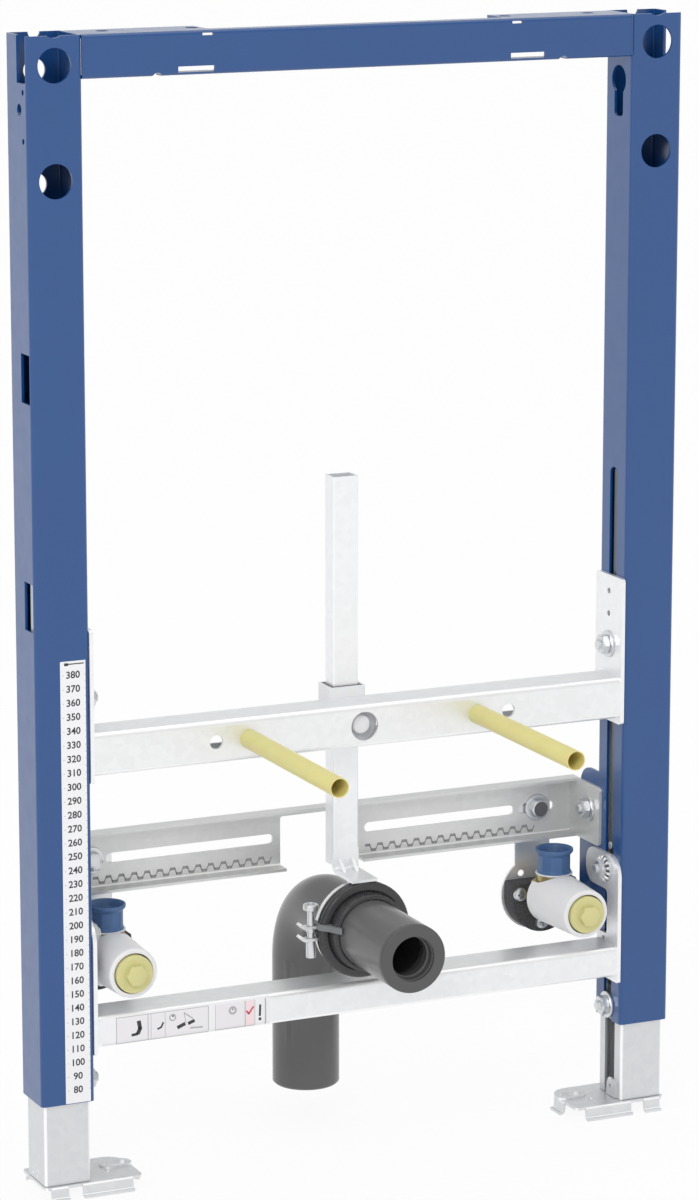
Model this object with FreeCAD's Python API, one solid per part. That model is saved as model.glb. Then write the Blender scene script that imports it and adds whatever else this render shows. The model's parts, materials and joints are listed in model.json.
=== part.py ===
import FreeCAD, Part
import math
import os

# Bidet installation frame for a dry-wall front: two slotted posts with telescopic legs, a folded top
# rail, a crossbar with two fixing rods, a height-set waste bend in a pipe clamp, a rear rail with two
# water connections, and a lower crossbar. Millimetres. X runs from the left post to the right post,
# Y runs back towards the wall, Z up. The origin lies on the floor, midway between the posts and on
# their mid-depth plane. Right-hand pieces are modelled and mirrored for the left.

V = FreeCAD.Vector

# Overall sizes
frame_w = 500.0
frame_h = 820.0
slack = 0.3

# Posts: square folded tube with a slot down the inner wall
post_side = 40.0
post_wall = 2.0
post_bend = 1.0
post_z0 = 70.0
slot_w = 11.5
slot_top = 490.0
access_r = 12.0
access_below_top = 20.0
anchor_r = 8.0
anchor_drop = 6.0
anchor_pitch = 78.0
rear_notch_r = 4.5
front_notch_w = 10.0
front_notch_d = 1.5
key_r = 10.5
key_below_top = 48.0
key_slot_w = 13.0
key_drop = 26.0
side_slot_front = 3.0
side_slot_depth = 32.0
left_slot_w = 16.0
right_slot_w = 21.0
window_w = 16.0
window_h = 34.0
window_centres = (587.0, 428.0)
pilot_r = 2.0
pilot_y = -12.0
pilot_below_top = (38.0, 71.0)
lock_hole_r = 4.0
lock_hole_y = -5.0
lock_hole_below_top = 50.0
lug_z0 = 150.0
lug_z1 = 256.0
lug_reach = 27.0
lug_round = 15.0

# Top rail: folded channel with a stepped top flange
rail_h = 30.0
rail_wall = 2.0
rail_bend = 1.0
rail_depth = 38.0
rail_lip = 11.0
rail_waist_depth = 13.0
rail_waist_in = 97.0
rail_hole_r = 4.5
rail_hole_in = (90.0, 24.0)
rail_hole_y = 4.0
rail_low_slot_in = (97.0, 70.0)
rail_low_slot_h = 4.0
rail_high_slot_in = (96.0, 88.0)
rail_high_slot_h = 2.0
rail_high_slot_drop = 1.5
rail_notch_in = 55.0
rail_notch_r = 3.5

# Telescopic legs and swivelling foot plates
leg_side = 35.0
leg_wall = 2.0
leg_bend = 1.0
leg_slot_w = 15.0
leg_top = 330.0
leg_web_t = 2.5
foot_h = 10.0
foot_t = 2.0
foot_bend = 1.0
foot_out = 18.0
foot_in = 56.0
foot_front = 20.0
foot_back = 27.0
foot_round = 15.0
foot_toe_drop = 1.0
foot_toe = 3.5
foot_near_toe = (-14.0, -1.0)
foot_far_toe = (10.0, 48.0)
foot_end_toe = (-2.0, 13.0)
foot_hole_r = 4.5
foot_hole_len = 8.0
foot_hole_in = 46.0
foot_hole_y = 9.0
foot_rim_r = 8.0
foot_rim_t = 1.2
foot_small_hole_r = 2.5
foot_small_hole_in = 35.0
foot_small_hole_y = -3.0
pivot_r = 6.0
pivot_head_r = 9.0
pivot_head_t = 2.2
pivot_gap = 0.1

# Fasteners
bolt_r = 4.0
bolt_hole_r = 4.3
washer_r = 10.0
washer_t = 1.6
hex_af = 13.0
hex_t = 5.5
bolt_tip = 2.5
square_nut = 14.0
square_nut_t = 7.0
clamp_plate_y = 24.0
clamp_plate_z = 26.0
clamp_plate_t = 4.0
leg_bolt_z = 81.0

# Upper crossbar
plate_t = 3.0
bar_z = 321.0
bar_h = 31.0
bar_depth = 32.0
bar_wall = 2.0
bar_bend = 2.5
bar_lip = 7.0
bar_hole_x = 115.0
bar_hole_r = 5.0
bar_centre_hole_r = 10.5
upper_plate_z0 = 300.5
upper_plate_z1 = 410.0
upper_plate_round = 3.0
upper_bolt_z = 358.0
upper_pip_z = (398.0, 381.0)
upper_pip_r = 2.2

# Fixing rods and their protective sleeves
rod_x = 90.0
rod_r = 6.0
rod_front = 150.0
rod_nut_af = 18.0
rod_nut_t = 9.0
sleeve_r = 7.0
sleeve_bore_r = 6.2
sleeve_len = 153.5

# Waste bar, guide and pipe clamp
waste_z = 170.0
tube_w = 20.0
tube_d = 15.0
tube_wall = 1.5
tube_top = 497.0
tongue_t = 2.0
tongue_bend = 3.0
tongue_front = -21.0
tongue_rib = 9.0
guide_wall = 3.5
guide_above = 7.5
rubber_slack = 0.3
rubber_t = 6.2
rubber_lip = 1.5
rubber_lip_t = 4.0
rubber_nose = 7.0
rubber_nose_t = 3.2
rubber_groove = 1.5
band_t = 2.5
band_y0 = -16.0
band_y1 = -7.0
band_gap = 7.0
band_joint = 0.4
ear_reach = 14.0
ear_t = 2.0
ear_flare = 3.0
ear_margin = 1.0
hook_t = 1.5
hook_margin = 2.5
hook_down = 8.0
hook_up = 6.0
pad_w = 16.0
pad_t = 1.5
clamp_screw_out = 4.8
clamp_screw_r = 3.0
clamp_screw_up = 18.0
clamp_screw_head_r = 5.5
clamp_screw_head_t = 3.5
clamp_barrel_r = 3.8
clamp_barrel_down = 18.5

# Waste bend
pipe_r = 25.0
pipe_wall = 3.0
pipe_front = -102.0
bend_r = 48.0
spigot_y = 84.0
spigot_z0 = 25.0
spigot_bevel = 1.5
seal_r = 16.0
seal_step_r = 18.0
seal_step = 2.0
seal_len = 24.0
seal_flange = 4.0
seal_edge = 1.0

# Rear crossbar
rear_y = 62.0
rear_z0 = 200.0
rear_z1 = 245.0
rear_wall = 2.0
rear_bend = 1.5
rear_flange = 14.0
recess_half = 31.0
bridge_h = 6.5
rear_slot_z = 222.5
rear_slot_h = 7.5
rear_slot_start = 37.0
rear_slot_web_in = {"left": (41.7, 37.7), "right": (49.6, 45.7)}
rear_slot_end_in = 16.0
tab_y0 = 13.0
tab_round = 4.0
rear_bolt_y = 30.0
rear_bolt_z = 226.0

# Water connections
water_in = 30.0
water_z = 160.0
water_plate_inward = 17.0
water_plate_outward = 12.0
water_plate_r = 28.0
water_plate_t = 2.0
water_plate_top = 236.0
water_plate_drop = 4.0
plate_hole_inward = 12.0
plate_hole_up = 16.0
plate_hole_r = 2.5
pad_r = 27.0
pad_thick = 12.0
pad_top = 12.0
elbow_flange_r = 19.0
elbow_flange_t = 5.0
elbow_r = 12.0
elbow_y = 31.0
elbow_ball_r = 14.0
elbow_front = -14.0
elbow_bore_r = 8.0
elbow_top = 16.0
elbow_screw_r = 3.0
elbow_screw_ring = 22.0
cap_r = 12.3
cap_rim_r = 14.2
cap_h = 22.0
cap_rim_h = 4.0
cap_well_r = 10.0
cap_well = 6.0
shell_y0 = -21.0
shell_y1 = 38.0
shell_r0 = 18.0
shell_r1 = 21.0
shell_wall = 1.6
shell_lip = 3.0
shell_collar = 3.0
plug_r = 13.8
plug_clear = 1.2
plug_front = 3.0
plug_boss_af = 14.0
plug_boss = 5.0

# Lower crossbar
low_z0 = 108.0
low_h = 23.0
low_depth = 30.0
low_wall = 2.0
low_bend = 2.0
bracket_drop = 5.0
bracket_base = 32.0
bracket_base_up = 6.0
bracket_strip = 17.0
bracket_head_down = 16.0
bracket_head_up = 11.5
bracket_head_back = 31.0
bracket_pip_r = 1.6
bracket_pip_y = 2.0
bracket_pip_down = 4.0
low_bolt_z = 187.0

# Places worked out from the sizes above
post_half = post_side / 2
post_x = frame_w / 2 - post_half
inner_x = frame_w / 2 - post_side
front_y = -post_half
seat_x = inner_x - plate_t
access_zs = (frame_h - access_below_top, frame_h - access_below_top - anchor_pitch)
leg_z0 = foot_h + slack
tube_y0 = front_y + bar_depth
tube_y1 = tube_y0 + tube_d
guide_half_w = tube_w / 2 + slack + guide_wall
guide_y0 = tube_y0 - slack - guide_wall
guide_y1 = tube_y1 + slack + guide_wall
pipe_seat_r = pipe_r + rubber_slack
band_bore_r = pipe_seat_r + rubber_t
band_r = band_bore_r + band_t
clamp_y = (band_y0 + band_y1) / 2
clamp_screw_x = band_r + clamp_screw_out
water_x = inner_x - water_in
plug_mouth_r = plug_r + plug_clear
bracket_z0 = low_z0 - bracket_drop
tongue_z0 = waste_z + band_r + pad_t
web_y = rear_y - rear_wall
shell_bore = shell_r1 - shell_wall

PLANES = {
    "x": (V(0, 1, 0), V(0, 0, 1), V(1, 0, 0)),
    "y": (V(1, 0, 0), V(0, 0, 1), V(0, 1, 0)),
    "z": (V(1, 0, 0), V(0, 1, 0), V(0, 0, 1)),
}


def block(x, y, z):
    """Box between pairs of limits, in any order."""
    low = V(min(x), min(y), min(z))
    size = V(max(x), max(y), max(z)) - low
    return Part.makeBox(size.x, size.y, size.z, low)


def rod(radius, start, end):
    """Cylinder between the centres of its two ends."""
    start, end = V(*start), V(*end)
    return Part.makeCylinder(radius, (end - start).Length, start, end - start)


def corner_edges(before, here, after, radius):
    """Ends of the rounding at one corner, with its arc, or the bare corner."""
    if not radius:
        return here, here, []
    to_before = (before - here).normalize()
    to_after = (after - here).normalize()
    half = to_before.getAngle(to_after) / 2
    start = here + to_before * (radius / math.tan(half))
    end = here + to_after * (radius / math.tan(half))
    centre = here + (to_before + to_after).normalize() * (radius / math.sin(half))
    middle = centre + (here - centre).normalize() * radius
    return start, end, [Part.Arc(start, middle, end).toShape()]


def prism(corners, axis, low, high):
    """Outline of (u, v) or (u, v, radius) corners, carried along an axis from low to high."""
    along_u, along_v, normal = PLANES[axis]
    points = [along_u * c[0] + along_v * c[1] + normal * low for c in corners]
    radii = [c[2] if len(c) > 2 else 0 for c in corners]
    count = len(points)
    rounds = [corner_edges(points[i - 1], points[i], points[(i + 1) % count], radii[i])
              for i in range(count)]
    edges = []
    for i in range(count):
        edges += rounds[i][2]
        start, end = rounds[i][1], rounds[(i + 1) % count][0]
        if (end - start).Length > 1e-6:
            edges.append(Part.makeLine(start, end))
    face = Part.Face(Part.Wire(Part.__sortEdges__(edges)))
    return face.extrude(normal * (high - low))


def sheet(path, wall, bend, axis, low, high):
    """Folded sheet: a mid-line path given its wall and inside bend radius, carried along an axis."""
    spots = [V(u, v, 0) for u, v in path]
    ways = [(b - a).normalize() for a, b in zip(spots, spots[1:])]
    lefts, rights = [], []
    for i, spot in enumerate(spots):
        first = ways[max(i - 1, 0)]
        second = ways[min(i, len(ways) - 1)]
        turn = first.x * second.y - first.y * second.x
        across = V(-first.y - second.y, first.x + second.x, 0)
        offset = across * (wall / 2 / (1 + first.dot(second)))
        inside, outside = (bend, bend + wall) if abs(turn) > 1e-6 else (0, 0)
        if turn < 0:
            inside, outside = outside, inside
        lefts.append((spot.x + offset.x, spot.y + offset.y, inside))
        rights.append((spot.x - offset.x, spot.y - offset.y, outside))
    return prism(lefts + rights[::-1], axis, low, high)


def rounded_square(half, radius):
    """Corners of a square about the origin."""
    return [(-half, -half, radius), (half, -half, radius), (half, half, radius), (-half, half, radius)]


def obround(axis, centre, length, width, low, high):
    """Slot with round ends, long along the first direction of its plane."""
    u, v = centre
    half, r = length / 2, width / 2 - 1e-4
    corners = [(u - half, v - width / 2, r), (u + half, v - width / 2, r),
               (u + half, v + width / 2, r), (u - half, v + width / 2, r)]
    return prism(corners, axis, low, high)


def hexagon(flats, axis, centre, low, high):
    """Six-sided nut or head across its flats."""
    radius = flats / math.sqrt(3)
    corners = [(centre[0] + radius * math.cos(math.radians(60 * k)),
                centre[1] + radius * math.sin(math.radians(60 * k))) for k in range(6)]
    return prism(corners, axis, low, high)


def fuse(first, *others):
    """One solid out of pieces that touch or overlap."""
    return first.multiFuse(list(others)).removeSplitter()


def cut(body, *tools):
    """Body with every tool taken away."""
    return body.cut(Part.makeCompound(list(tools)))


def mirrored(shape):
    """Left-hand copy of a right-hand piece."""
    return shape.mirror(V(0, 0, 0), V(1, 0, 0))


def both(shape):
    """The right-hand piece and its mirror image as one set."""
    return Part.makeCompound([mirrored(shape), shape])


def save(name, shape):
    """Write one node."""
    shape.exportStep("parts/" + name + ".step")
    print(name, len(shape.Solids), "solid(s)", round(shape.Volume / 1000, 2), "cm3")


def save_pair(name, shape):
    """Write the left and right nodes of a mirrored pair."""
    save("left_" + name, mirrored(shape))
    save("right_" + name, shape)


def at_post(shape):
    """Move a profile drawn about the origin to the right-hand post's axis."""
    shape.translate(V(post_x, 0, 0))
    return shape


def make_post(top_slot_w):
    """Right-hand post: folded square tube, slotted inside, pierced for the wall anchors."""
    outer = prism(rounded_square(post_half, post_bend + post_wall), "z", post_z0, frame_h)
    inner = prism(rounded_square(post_half - post_wall, post_bend), "z", post_z0 - 1, frame_h + 1)
    tube = at_post(outer.cut(inner))
    lug = prism([(0, lug_z0, 0), (post_half + lug_reach, lug_z0, lug_round),
                 (post_half + lug_reach, lug_z1, lug_round), (0, lug_z1, 0)],
                "x", inner_x, inner_x + post_wall)
    lug = cut(lug, block((inner_x - 1, post_x), (-1, post_half - post_wall - post_bend),
                         (lug_z0 - 1, lug_z1 + 1)),
              rod(bolt_hole_r, (inner_x - 1, rear_bolt_y, rear_bolt_z),
                  (post_x, rear_bolt_y, rear_bolt_z)))
    tools = [prism([(-slot_w / 2, post_z0 - 1, 0), (slot_w / 2, post_z0 - 1, 0),
                    (slot_w / 2, slot_top, slot_w / 2 - 0.01),
                    (-slot_w / 2, slot_top, slot_w / 2 - 0.01)],
                   "x", inner_x - 1, inner_x + post_wall + 1)]
    tools += anchor_tools() + keyhole_tools() + outer_wall_tools(top_slot_w)
    return cut(tube, *tools).fuse(lug).removeSplitter()


def anchor_tools():
    """Access holes in the front wall, anchor holes lower in the rear wall and the two top notches."""
    front = (front_y - 1, front_y + post_wall + 1)
    rear = (post_half - post_wall - 1, post_half + 1)
    notch_r = (front_notch_w ** 2 / 4 + front_notch_d ** 2) / (2 * front_notch_d)
    holes = [(front, frame_h + notch_r - front_notch_d, notch_r), (rear, frame_h, rear_notch_r)]
    for z in access_zs:
        holes += [(front, z, access_r), (rear, z - anchor_drop, anchor_r)]
    return [rod(radius, (post_x, y0, z), (post_x, y1, z)) for (y0, y1), z, radius in holes]


def keyhole_tools():
    """Round hole and hanging slot in the inner wall."""
    key_z = frame_h - key_below_top
    across = (inner_x - 1, inner_x + post_wall + 1)
    hole = rod(key_r, (across[0], 0, key_z), (across[1], 0, key_z))
    half = key_slot_w / 2
    slot = prism([(-half, key_z - key_drop, half / 2), (half, key_z - key_drop, half / 2),
                  (half, key_z, 0), (-half, key_z, 0)], "x", *across)
    return [hole, slot]


def outer_wall_tools(top_slot_w):
    """Open slot, windows and pilot holes of the outer wall."""
    across = (frame_w / 2 - post_wall - 1, frame_w / 2 + 1)
    y0 = front_y + side_slot_front
    tools = [block(across, (y0, y0 + top_slot_w), (frame_h - side_slot_depth, frame_h + 1))]
    for z in window_centres:
        tools.append(block(across, (y0, y0 + window_w), (z - window_h / 2, z + window_h / 2)))
    for drop in pilot_below_top:
        z = frame_h - drop
        tools.append(rod(pilot_r, (across[0], pilot_y, z), (across[1], pilot_y, z)))
    z = frame_h - lock_hole_below_top
    tools.append(rod(lock_hole_r, (across[0], lock_hole_y, z), (across[1], lock_hole_y, z)))
    return tools


def make_top_rail():
    """Channel between the posts: front web, narrow bottom flange, stepped top flange."""
    z0, z1 = frame_h - rail_h, frame_h
    half = rail_wall / 2
    profile = [(front_y + rail_lip, z0 + half), (front_y + half, z0 + half),
               (front_y + half, z1 - half), (front_y + rail_depth, z1 - half)]
    rail = sheet(profile, rail_wall, rail_bend, "x", -inner_x, inner_x)
    waist_y = front_y + rail_waist_depth
    waist_x = inner_x - rail_waist_in
    tools = [prism([(-waist_x, waist_y, 3), (waist_x, waist_y, 3),
                    (waist_x, post_side, 0), (-waist_x, post_side, 0)],
                   "z", z1 - rail_wall - 1, z1 + 1)]
    low_slot = (rail_low_slot_in, z0 + rail_wall, rail_low_slot_h)
    high_slot = (rail_high_slot_in, z1 - rail_wall - rail_high_slot_drop, rail_high_slot_h)
    for side in (-1, 1):
        for inward in rail_hole_in:
            x = side * (inner_x - inward)
            tools.append(rod(rail_hole_r, (x, rail_hole_y, z1 - rail_wall - 1), (x, rail_hole_y, z1 + 1)))
        for (start, end), z, height in (low_slot, high_slot):
            tools.append(block((side * (inner_x - start), side * (inner_x - end)),
                               (front_y - 1, front_y + rail_wall + 1), (z, z + height)))
        x = side * (inner_x - rail_notch_in)
        tools.append(rod(rail_notch_r, (x, front_y - 1, z0 - 1), (x, front_y + rail_lip + 1, z0 - 1)))
    return cut(rail, *tools)


def make_leg():
    """Right leg: folded C whose mouth faces the middle of the frame, closed by a web below."""
    half, mid = leg_side / 2, leg_side / 2 - leg_wall / 2
    mouth = leg_slot_w / 2
    leg = sheet([(-mid, -mouth), (-mid, -mid), (mid, -mid), (mid, mid), (-mid, mid), (-mid, mouth)],
                leg_wall, leg_bend, "z", leg_z0, leg_top)
    inside = half - leg_wall
    web = prism(rounded_square(inside, leg_bend), "z", leg_z0, leg_z0 + leg_web_t)
    leg = fuse(leg, web)
    hole = rod(pivot_r + pivot_gap, (0, 0, leg_z0 - 1), (0, 0, leg_z0 + leg_web_t + 1))
    return at_post(leg.cut(hole))


def foot_toe_profile(edge):
    """Mid-line of a pressed toe, from the plate's edge out and down to the floor, as (out, z)."""
    top = foot_h - foot_t / 2
    return [(edge - foot_t, top), (edge, top), (edge + foot_toe_drop, foot_t / 2),
            (edge + foot_toe_drop + foot_toe, foot_t / 2)]


def make_foot():
    """Right foot plate: pressed plate on flared toes, riveted so that it swivels under the leg."""
    x0, x1 = -foot_in, foot_out
    y0, y1 = -foot_front, foot_back
    plate = prism([(x0, y0, 3), (x1, y0, 3), (x1, y1, 3), (x0, y1, foot_round)],
                  "z", foot_h - foot_t, foot_h)
    profile = [(-out, z) for out, z in foot_toe_profile(foot_in)]
    toes = [sheet(profile, foot_t, foot_bend, "y", *foot_end_toe)]
    for near, far in (foot_near_toe, foot_far_toe):
        profile = [(-out, z) for out, z in foot_toe_profile(foot_front)]
        toes.append(sheet(profile, foot_t, foot_bend, "x", -far, -near))
        toes.append(sheet(foot_toe_profile(foot_back), foot_t, foot_bend, "x", -far, -near))
    x, y = -foot_hole_in, foot_hole_y
    length, width = foot_hole_r * 2 + foot_hole_len, foot_hole_r * 2
    rim = 2 * (foot_rim_r - foot_hole_r)
    plate = fuse(plate, *toes, obround("z", (x, y), length + rim, width + rim, foot_h - foot_t / 2,
                                       foot_h + foot_rim_t))
    small = (-foot_small_hole_in, foot_small_hole_y)
    plate = cut(plate, obround("z", (x, y), length, width, -1, foot_h + foot_rim_t + 1),
                rod(foot_small_hole_r, (*small, -1), (*small, foot_h + 1)))
    head_z = leg_z0 + leg_web_t + slack
    pivot = fuse(rod(pivot_r, (0, 0, foot_h - foot_t), (0, 0, head_z + pivot_head_t / 2)),
                 rod(pivot_head_r, (0, 0, head_z), (0, 0, head_z + pivot_head_t)))
    return at_post(fuse(plate, pivot))


def bolt(y, z, seat, bearing, nut):
    """Bolt along X: hex head and washer on the seat, shank, and its nut beyond the bearing face."""
    head = hexagon(hex_af, "x", (y, z), seat - washer_t - hex_t, seat - washer_t)
    washer = rod(washer_r, (seat - washer_t, y, z), (seat, y, z))
    tip = seat - washer_t - hex_t - bolt_tip
    shank = rod(bolt_r, (tip, y, z), (bearing + square_nut_t, y, z))
    return fuse(shank, washer, head, nut)


def slot_nut(y, z, x):
    """Square nut that bears on the inside of the post's slotted wall, within the leg's mouth."""
    half = square_nut / 2
    return block((x, x + square_nut_t), (y - half, y + half), (z - half, z + half))


def make_leg_bolt():
    """Clamping bolt of the leg: the plate inside the leg pulls it against the post."""
    inside = post_x - leg_side / 2 + leg_wall + slack
    plate = block((inside, inside + clamp_plate_t), (-clamp_plate_y / 2, clamp_plate_y / 2),
                  (leg_bolt_z - clamp_plate_z / 2, leg_bolt_z + clamp_plate_z / 2))
    return bolt(0, leg_bolt_z, inner_x, inside, plate)


def make_upper_crossbar():
    """Lipped channel, open to the rear, pierced for the fixing rods."""
    z0, z1 = bar_z - bar_h / 2, bar_z + bar_h / 2
    half = bar_wall / 2
    back = front_y + bar_depth - half
    front = front_y + half
    path = [(back, z0 + bar_lip), (back, z0 + half), (front, z0 + half),
            (front, z1 - half), (back, z1 - half), (back, z1 - bar_lip)]
    bar = sheet(path, bar_wall, bar_bend, "x", -seat_x, seat_x)
    web = (front_y - 1, front_y + bar_wall + 1)
    tools = [rod(bar_centre_hole_r, (0, web[0], bar_z), (0, web[1], bar_z))]
    for side in (-1, 1):
        tools.append(rod(bar_hole_r, (side * bar_hole_x, web[0], bar_z),
                         (side * bar_hole_x, web[1], bar_z)))
        tools.append(rod(rod_r + slack, (side * rod_x, web[0], bar_z), (side * rod_x, web[1], bar_z)))
    tools.append(block((-guide_half_w, guide_half_w), (guide_y0, tube_y0 + 1), (z0 - 1, z1 + 1)))
    return cut(bar, *tools)


def make_upper_plate():
    """End plate of the upper crossbar, bolted to the inner wall of the post."""
    r = upper_plate_round
    y0, y1 = front_y, post_half
    plate = prism([(y0, upper_plate_z0, r), (y1, upper_plate_z0, r), (y1, upper_plate_z1, r),
                   (y0, upper_plate_z1, r)], "x", seat_x, inner_x)
    holes = [(upper_bolt_z, bolt_hole_r)] + [(z, upper_pip_r) for z in upper_pip_z]
    return cut(plate, *[rod(r, (seat_x - 1, 0, z), (inner_x + 1, 0, z)) for z, r in holes])


def make_fixing_rod():
    """Threaded fixing rod with its nut inside the crossbar."""
    web = front_y + bar_wall
    stud = rod(rod_r, (rod_x, -rod_front, bar_z), (rod_x, web + rod_nut_t + 3, bar_z))
    nut = hexagon(rod_nut_af, "y", (rod_x, bar_z), web, web + rod_nut_t)
    return fuse(stud, nut)


def make_rod_sleeve():
    """Protective tube over the rod, seated on the crossbar."""
    tip = front_y - sleeve_len
    tube = rod(sleeve_r, (rod_x, tip, bar_z), (rod_x, front_y, bar_z))
    return tube.cut(rod(sleeve_bore_r, (rod_x, tip - 1, bar_z), (rod_x, front_y + 1, bar_z)))


def make_bar_guide():
    """Moulded guide that holds the waste bar at the crossbar's open side."""
    z0, z1 = bar_z - bar_h / 2, bar_z + bar_h / 2 + guide_above
    body = block((-guide_half_w, guide_half_w), (guide_y0, guide_y1), (z0, z1))
    body = body.makeFillet(1.5, [e for e in body.Edges if abs(e.tangentAt(0).z) > 0.9])
    bore_half = tube_w / 2 + slack
    return body.cut(block((-bore_half, bore_half), (tube_y0 - slack, tube_y1 + slack),
                          (z0 - 1, z1 + 1)))


def make_waste_bar():
    """Open-topped tube whose front wall is folded forward as the tongue over the pipe clamp."""
    half_w = tube_w / 2
    mid_y = (tube_y0 + tube_y1) / 2
    outer = [(-half_w, tube_y0, 1.5), (half_w, tube_y0, 1.5), (half_w, tube_y1, 1.5),
             (-half_w, tube_y1, 1.5)]
    w = tube_wall
    inner = [(-half_w + w, tube_y0 + w), (half_w - w, tube_y0 + w), (half_w - w, tube_y1 - w),
             (-half_w + w, tube_y1 - w)]
    foot = tongue_z0 + tongue_t + tongue_bend
    tube = prism(outer, "z", foot, tube_top).cut(prism(inner, "z", foot - 1, tube_top + 1))
    half_t = tongue_t / 2
    strip = sheet([(tube_y0 + half_t, foot + 12), (tube_y0 + half_t, tongue_z0 + half_t),
                   (tongue_front, tongue_z0 + half_t)], tongue_t, tongue_bend, "x", -half_w, half_w)
    ribs = []
    for x in (-half_w / 2, half_w / 2):
        top = tongue_z0 + tongue_t
        rib = prism([(tube_y0 + half_t, top), (tube_y0 + half_t, top + tongue_rib),
                     (tube_y0 - tongue_rib, top)], "x", x - 1.2, x + 1.2)
        ribs.append(rib)
    return fuse(tube, strip, *ribs)


def half_band(sign):
    """Half of the pipe clamp, with one flared ear at the left; sign is +1 above and -1 below."""
    reach = band_r + ear_reach
    flat = waste_z + sign * (band_gap + ear_t) / 2
    ear = sheet([(-reach, flat + ear_flare), (-reach + ear_flare, flat), (-band_bore_r, flat)],
                ear_t, 0.5, "y", band_y0 + ear_margin, band_y1 - ear_margin)
    ring = rod(band_r, (0, band_y0, waste_z), (0, band_y1, waste_z))
    far = waste_z + sign * (band_r + 1)
    left = block((-band_r, 0), (band_y0, band_y1), (waste_z + sign * band_gap / 2, far))
    right = block((0, band_r), (band_y0, band_y1), (waste_z + sign * band_joint / 2, far))
    ring = ring.common(fuse(left, right))
    return cut(fuse(ring, ear), rod(band_bore_r, (0, band_y0 - 1, waste_z), (0, band_y1 + 1, waste_z)),
               rod(clamp_screw_r + slack, (-clamp_screw_x, clamp_y, waste_z - band_r),
                   (-clamp_screw_x, clamp_y, waste_z + band_r)))


def make_clamp_upper():
    """Upper half of the pipe clamp, with the flat pad that carries the tongue."""
    half_w = pad_w / 2
    pad = block((-half_w, half_w), (band_y0, band_y1), (waste_z + band_bore_r + 1, tongue_z0))
    return fuse(half_band(1), pad)


def make_clamp_lower():
    """Lower half of the pipe clamp; its hook laps the upper half at the right."""
    inside, outside = band_r + slack, band_r + slack + hook_t
    hook = prism([(band_bore_r + band_t / 2, waste_z - hook_down), (outside, waste_z - hook_down, 1),
                  (outside, waste_z + hook_up), (inside, waste_z + hook_up),
                  (inside, waste_z - band_joint), (band_bore_r + band_t / 2, waste_z - band_joint)],
                 "y", band_y0 + hook_margin, band_y1 - hook_margin)
    return fuse(half_band(-1), hook)


def make_clamp_screw():
    """Screw at the clamp's left: pan head above the upper ear, threaded barrel under the lower one."""
    x, y = -clamp_screw_x, clamp_y
    top = waste_z + clamp_screw_up
    under = waste_z - band_gap / 2 - ear_t
    shank = rod(clamp_screw_r, (x, y, under - 1), (x, y, top))
    head = rod(clamp_screw_head_r, (x, y, top), (x, y, top + clamp_screw_head_t))
    barrel = rod(clamp_barrel_r, (x, y, waste_z - clamp_barrel_down), (x, y, under))
    return fuse(shank, head, barrel)


def make_clamp_rubber():
    """Rubber lining of the clamp: a lip on each side of the band and a nose along the pipe in front."""
    y0, y1 = band_y0 - rubber_lip_t, band_y1 + rubber_lip_t
    nose_y = y0 - rubber_nose
    lip_r = band_bore_r + rubber_lip
    nose_r = pipe_seat_r + rubber_nose_t
    lining = rod(band_bore_r, (0, y0, waste_z), (0, y1, waste_z))
    front_lip = rod(lip_r, (0, y0, waste_z), (0, band_y0, waste_z))
    rear_lip = rod(lip_r, (0, band_y1, waste_z), (0, y1, waste_z))
    nose = rod(nose_r, (0, nose_y, waste_z), (0, y0, waste_z))
    groove = rod(nose_r + rubber_groove, (0, y0 - 1, waste_z), (0, y0 + rubber_groove, waste_z))
    groove = groove.cut(rod(nose_r, (0, y0 - 2, waste_z), (0, y1, waste_z)))
    bore = rod(pipe_seat_r, (0, nose_y - 1, waste_z), (0, y1 + 1, waste_z))
    return cut(fuse(lining, front_lip, rear_lip, nose), bore, groove)


def bend_solid(radius, reach):
    """Solid of the bend's route: straight inlet, quarter turn, straight spigot."""
    turn_y = spigot_y - bend_r
    turn_z = waste_z - bend_r
    inlet = rod(radius, (0, pipe_front + seal_flange - reach, waste_z), (0, turn_y, waste_z))
    spigot = rod(radius, (0, spigot_y, spigot_z0 - reach), (0, spigot_y, turn_z))
    disc = Part.Face(Part.Wire(Part.makeCircle(radius, V(0, turn_y, waste_z), V(0, 1, 0))))
    turn = disc.revolve(V(0, turn_y, turn_z), V(1, 0, 0), -90)
    return fuse(turn, inlet, spigot)


def make_waste_bend():
    """Plastic bend: seal socket in front, quarter turn, spigot down to the waste pipe."""
    body = bend_solid(pipe_r, 0).cut(bend_solid(pipe_r - pipe_wall, 1))
    rim = [e for e in body.Edges if abs(e.BoundBox.ZMax - spigot_z0) < 1e-3
           and e.BoundBox.XLength > 2 * pipe_r - 1]
    return body.makeChamfer(spigot_bevel, rim)


def make_inlet_seal():
    """Stepped seal in the mouth of the bend, with a flange as wide as the pipe on its end."""
    y0, y1 = pipe_front, pipe_front + seal_len
    flange = rod(pipe_r, (0, y0, waste_z), (0, y0 + seal_flange, waste_z))
    edge = [e for e in flange.Edges if e.Closed and abs(e.BoundBox.YMin - y0) < 1e-3]
    flange = flange.makeFillet(seal_edge, edge)
    ring = rod(pipe_r - pipe_wall, (0, y0 + seal_edge, waste_z), (0, y1, waste_z))
    bore = rod(seal_r, (0, y0 - 1, waste_z), (0, y1 + 1, waste_z))
    step = rod(seal_step_r, (0, y0 - 1, waste_z), (0, y0 + seal_step, waste_z))
    return cut(fuse(flange, ring), bore, step)


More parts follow.
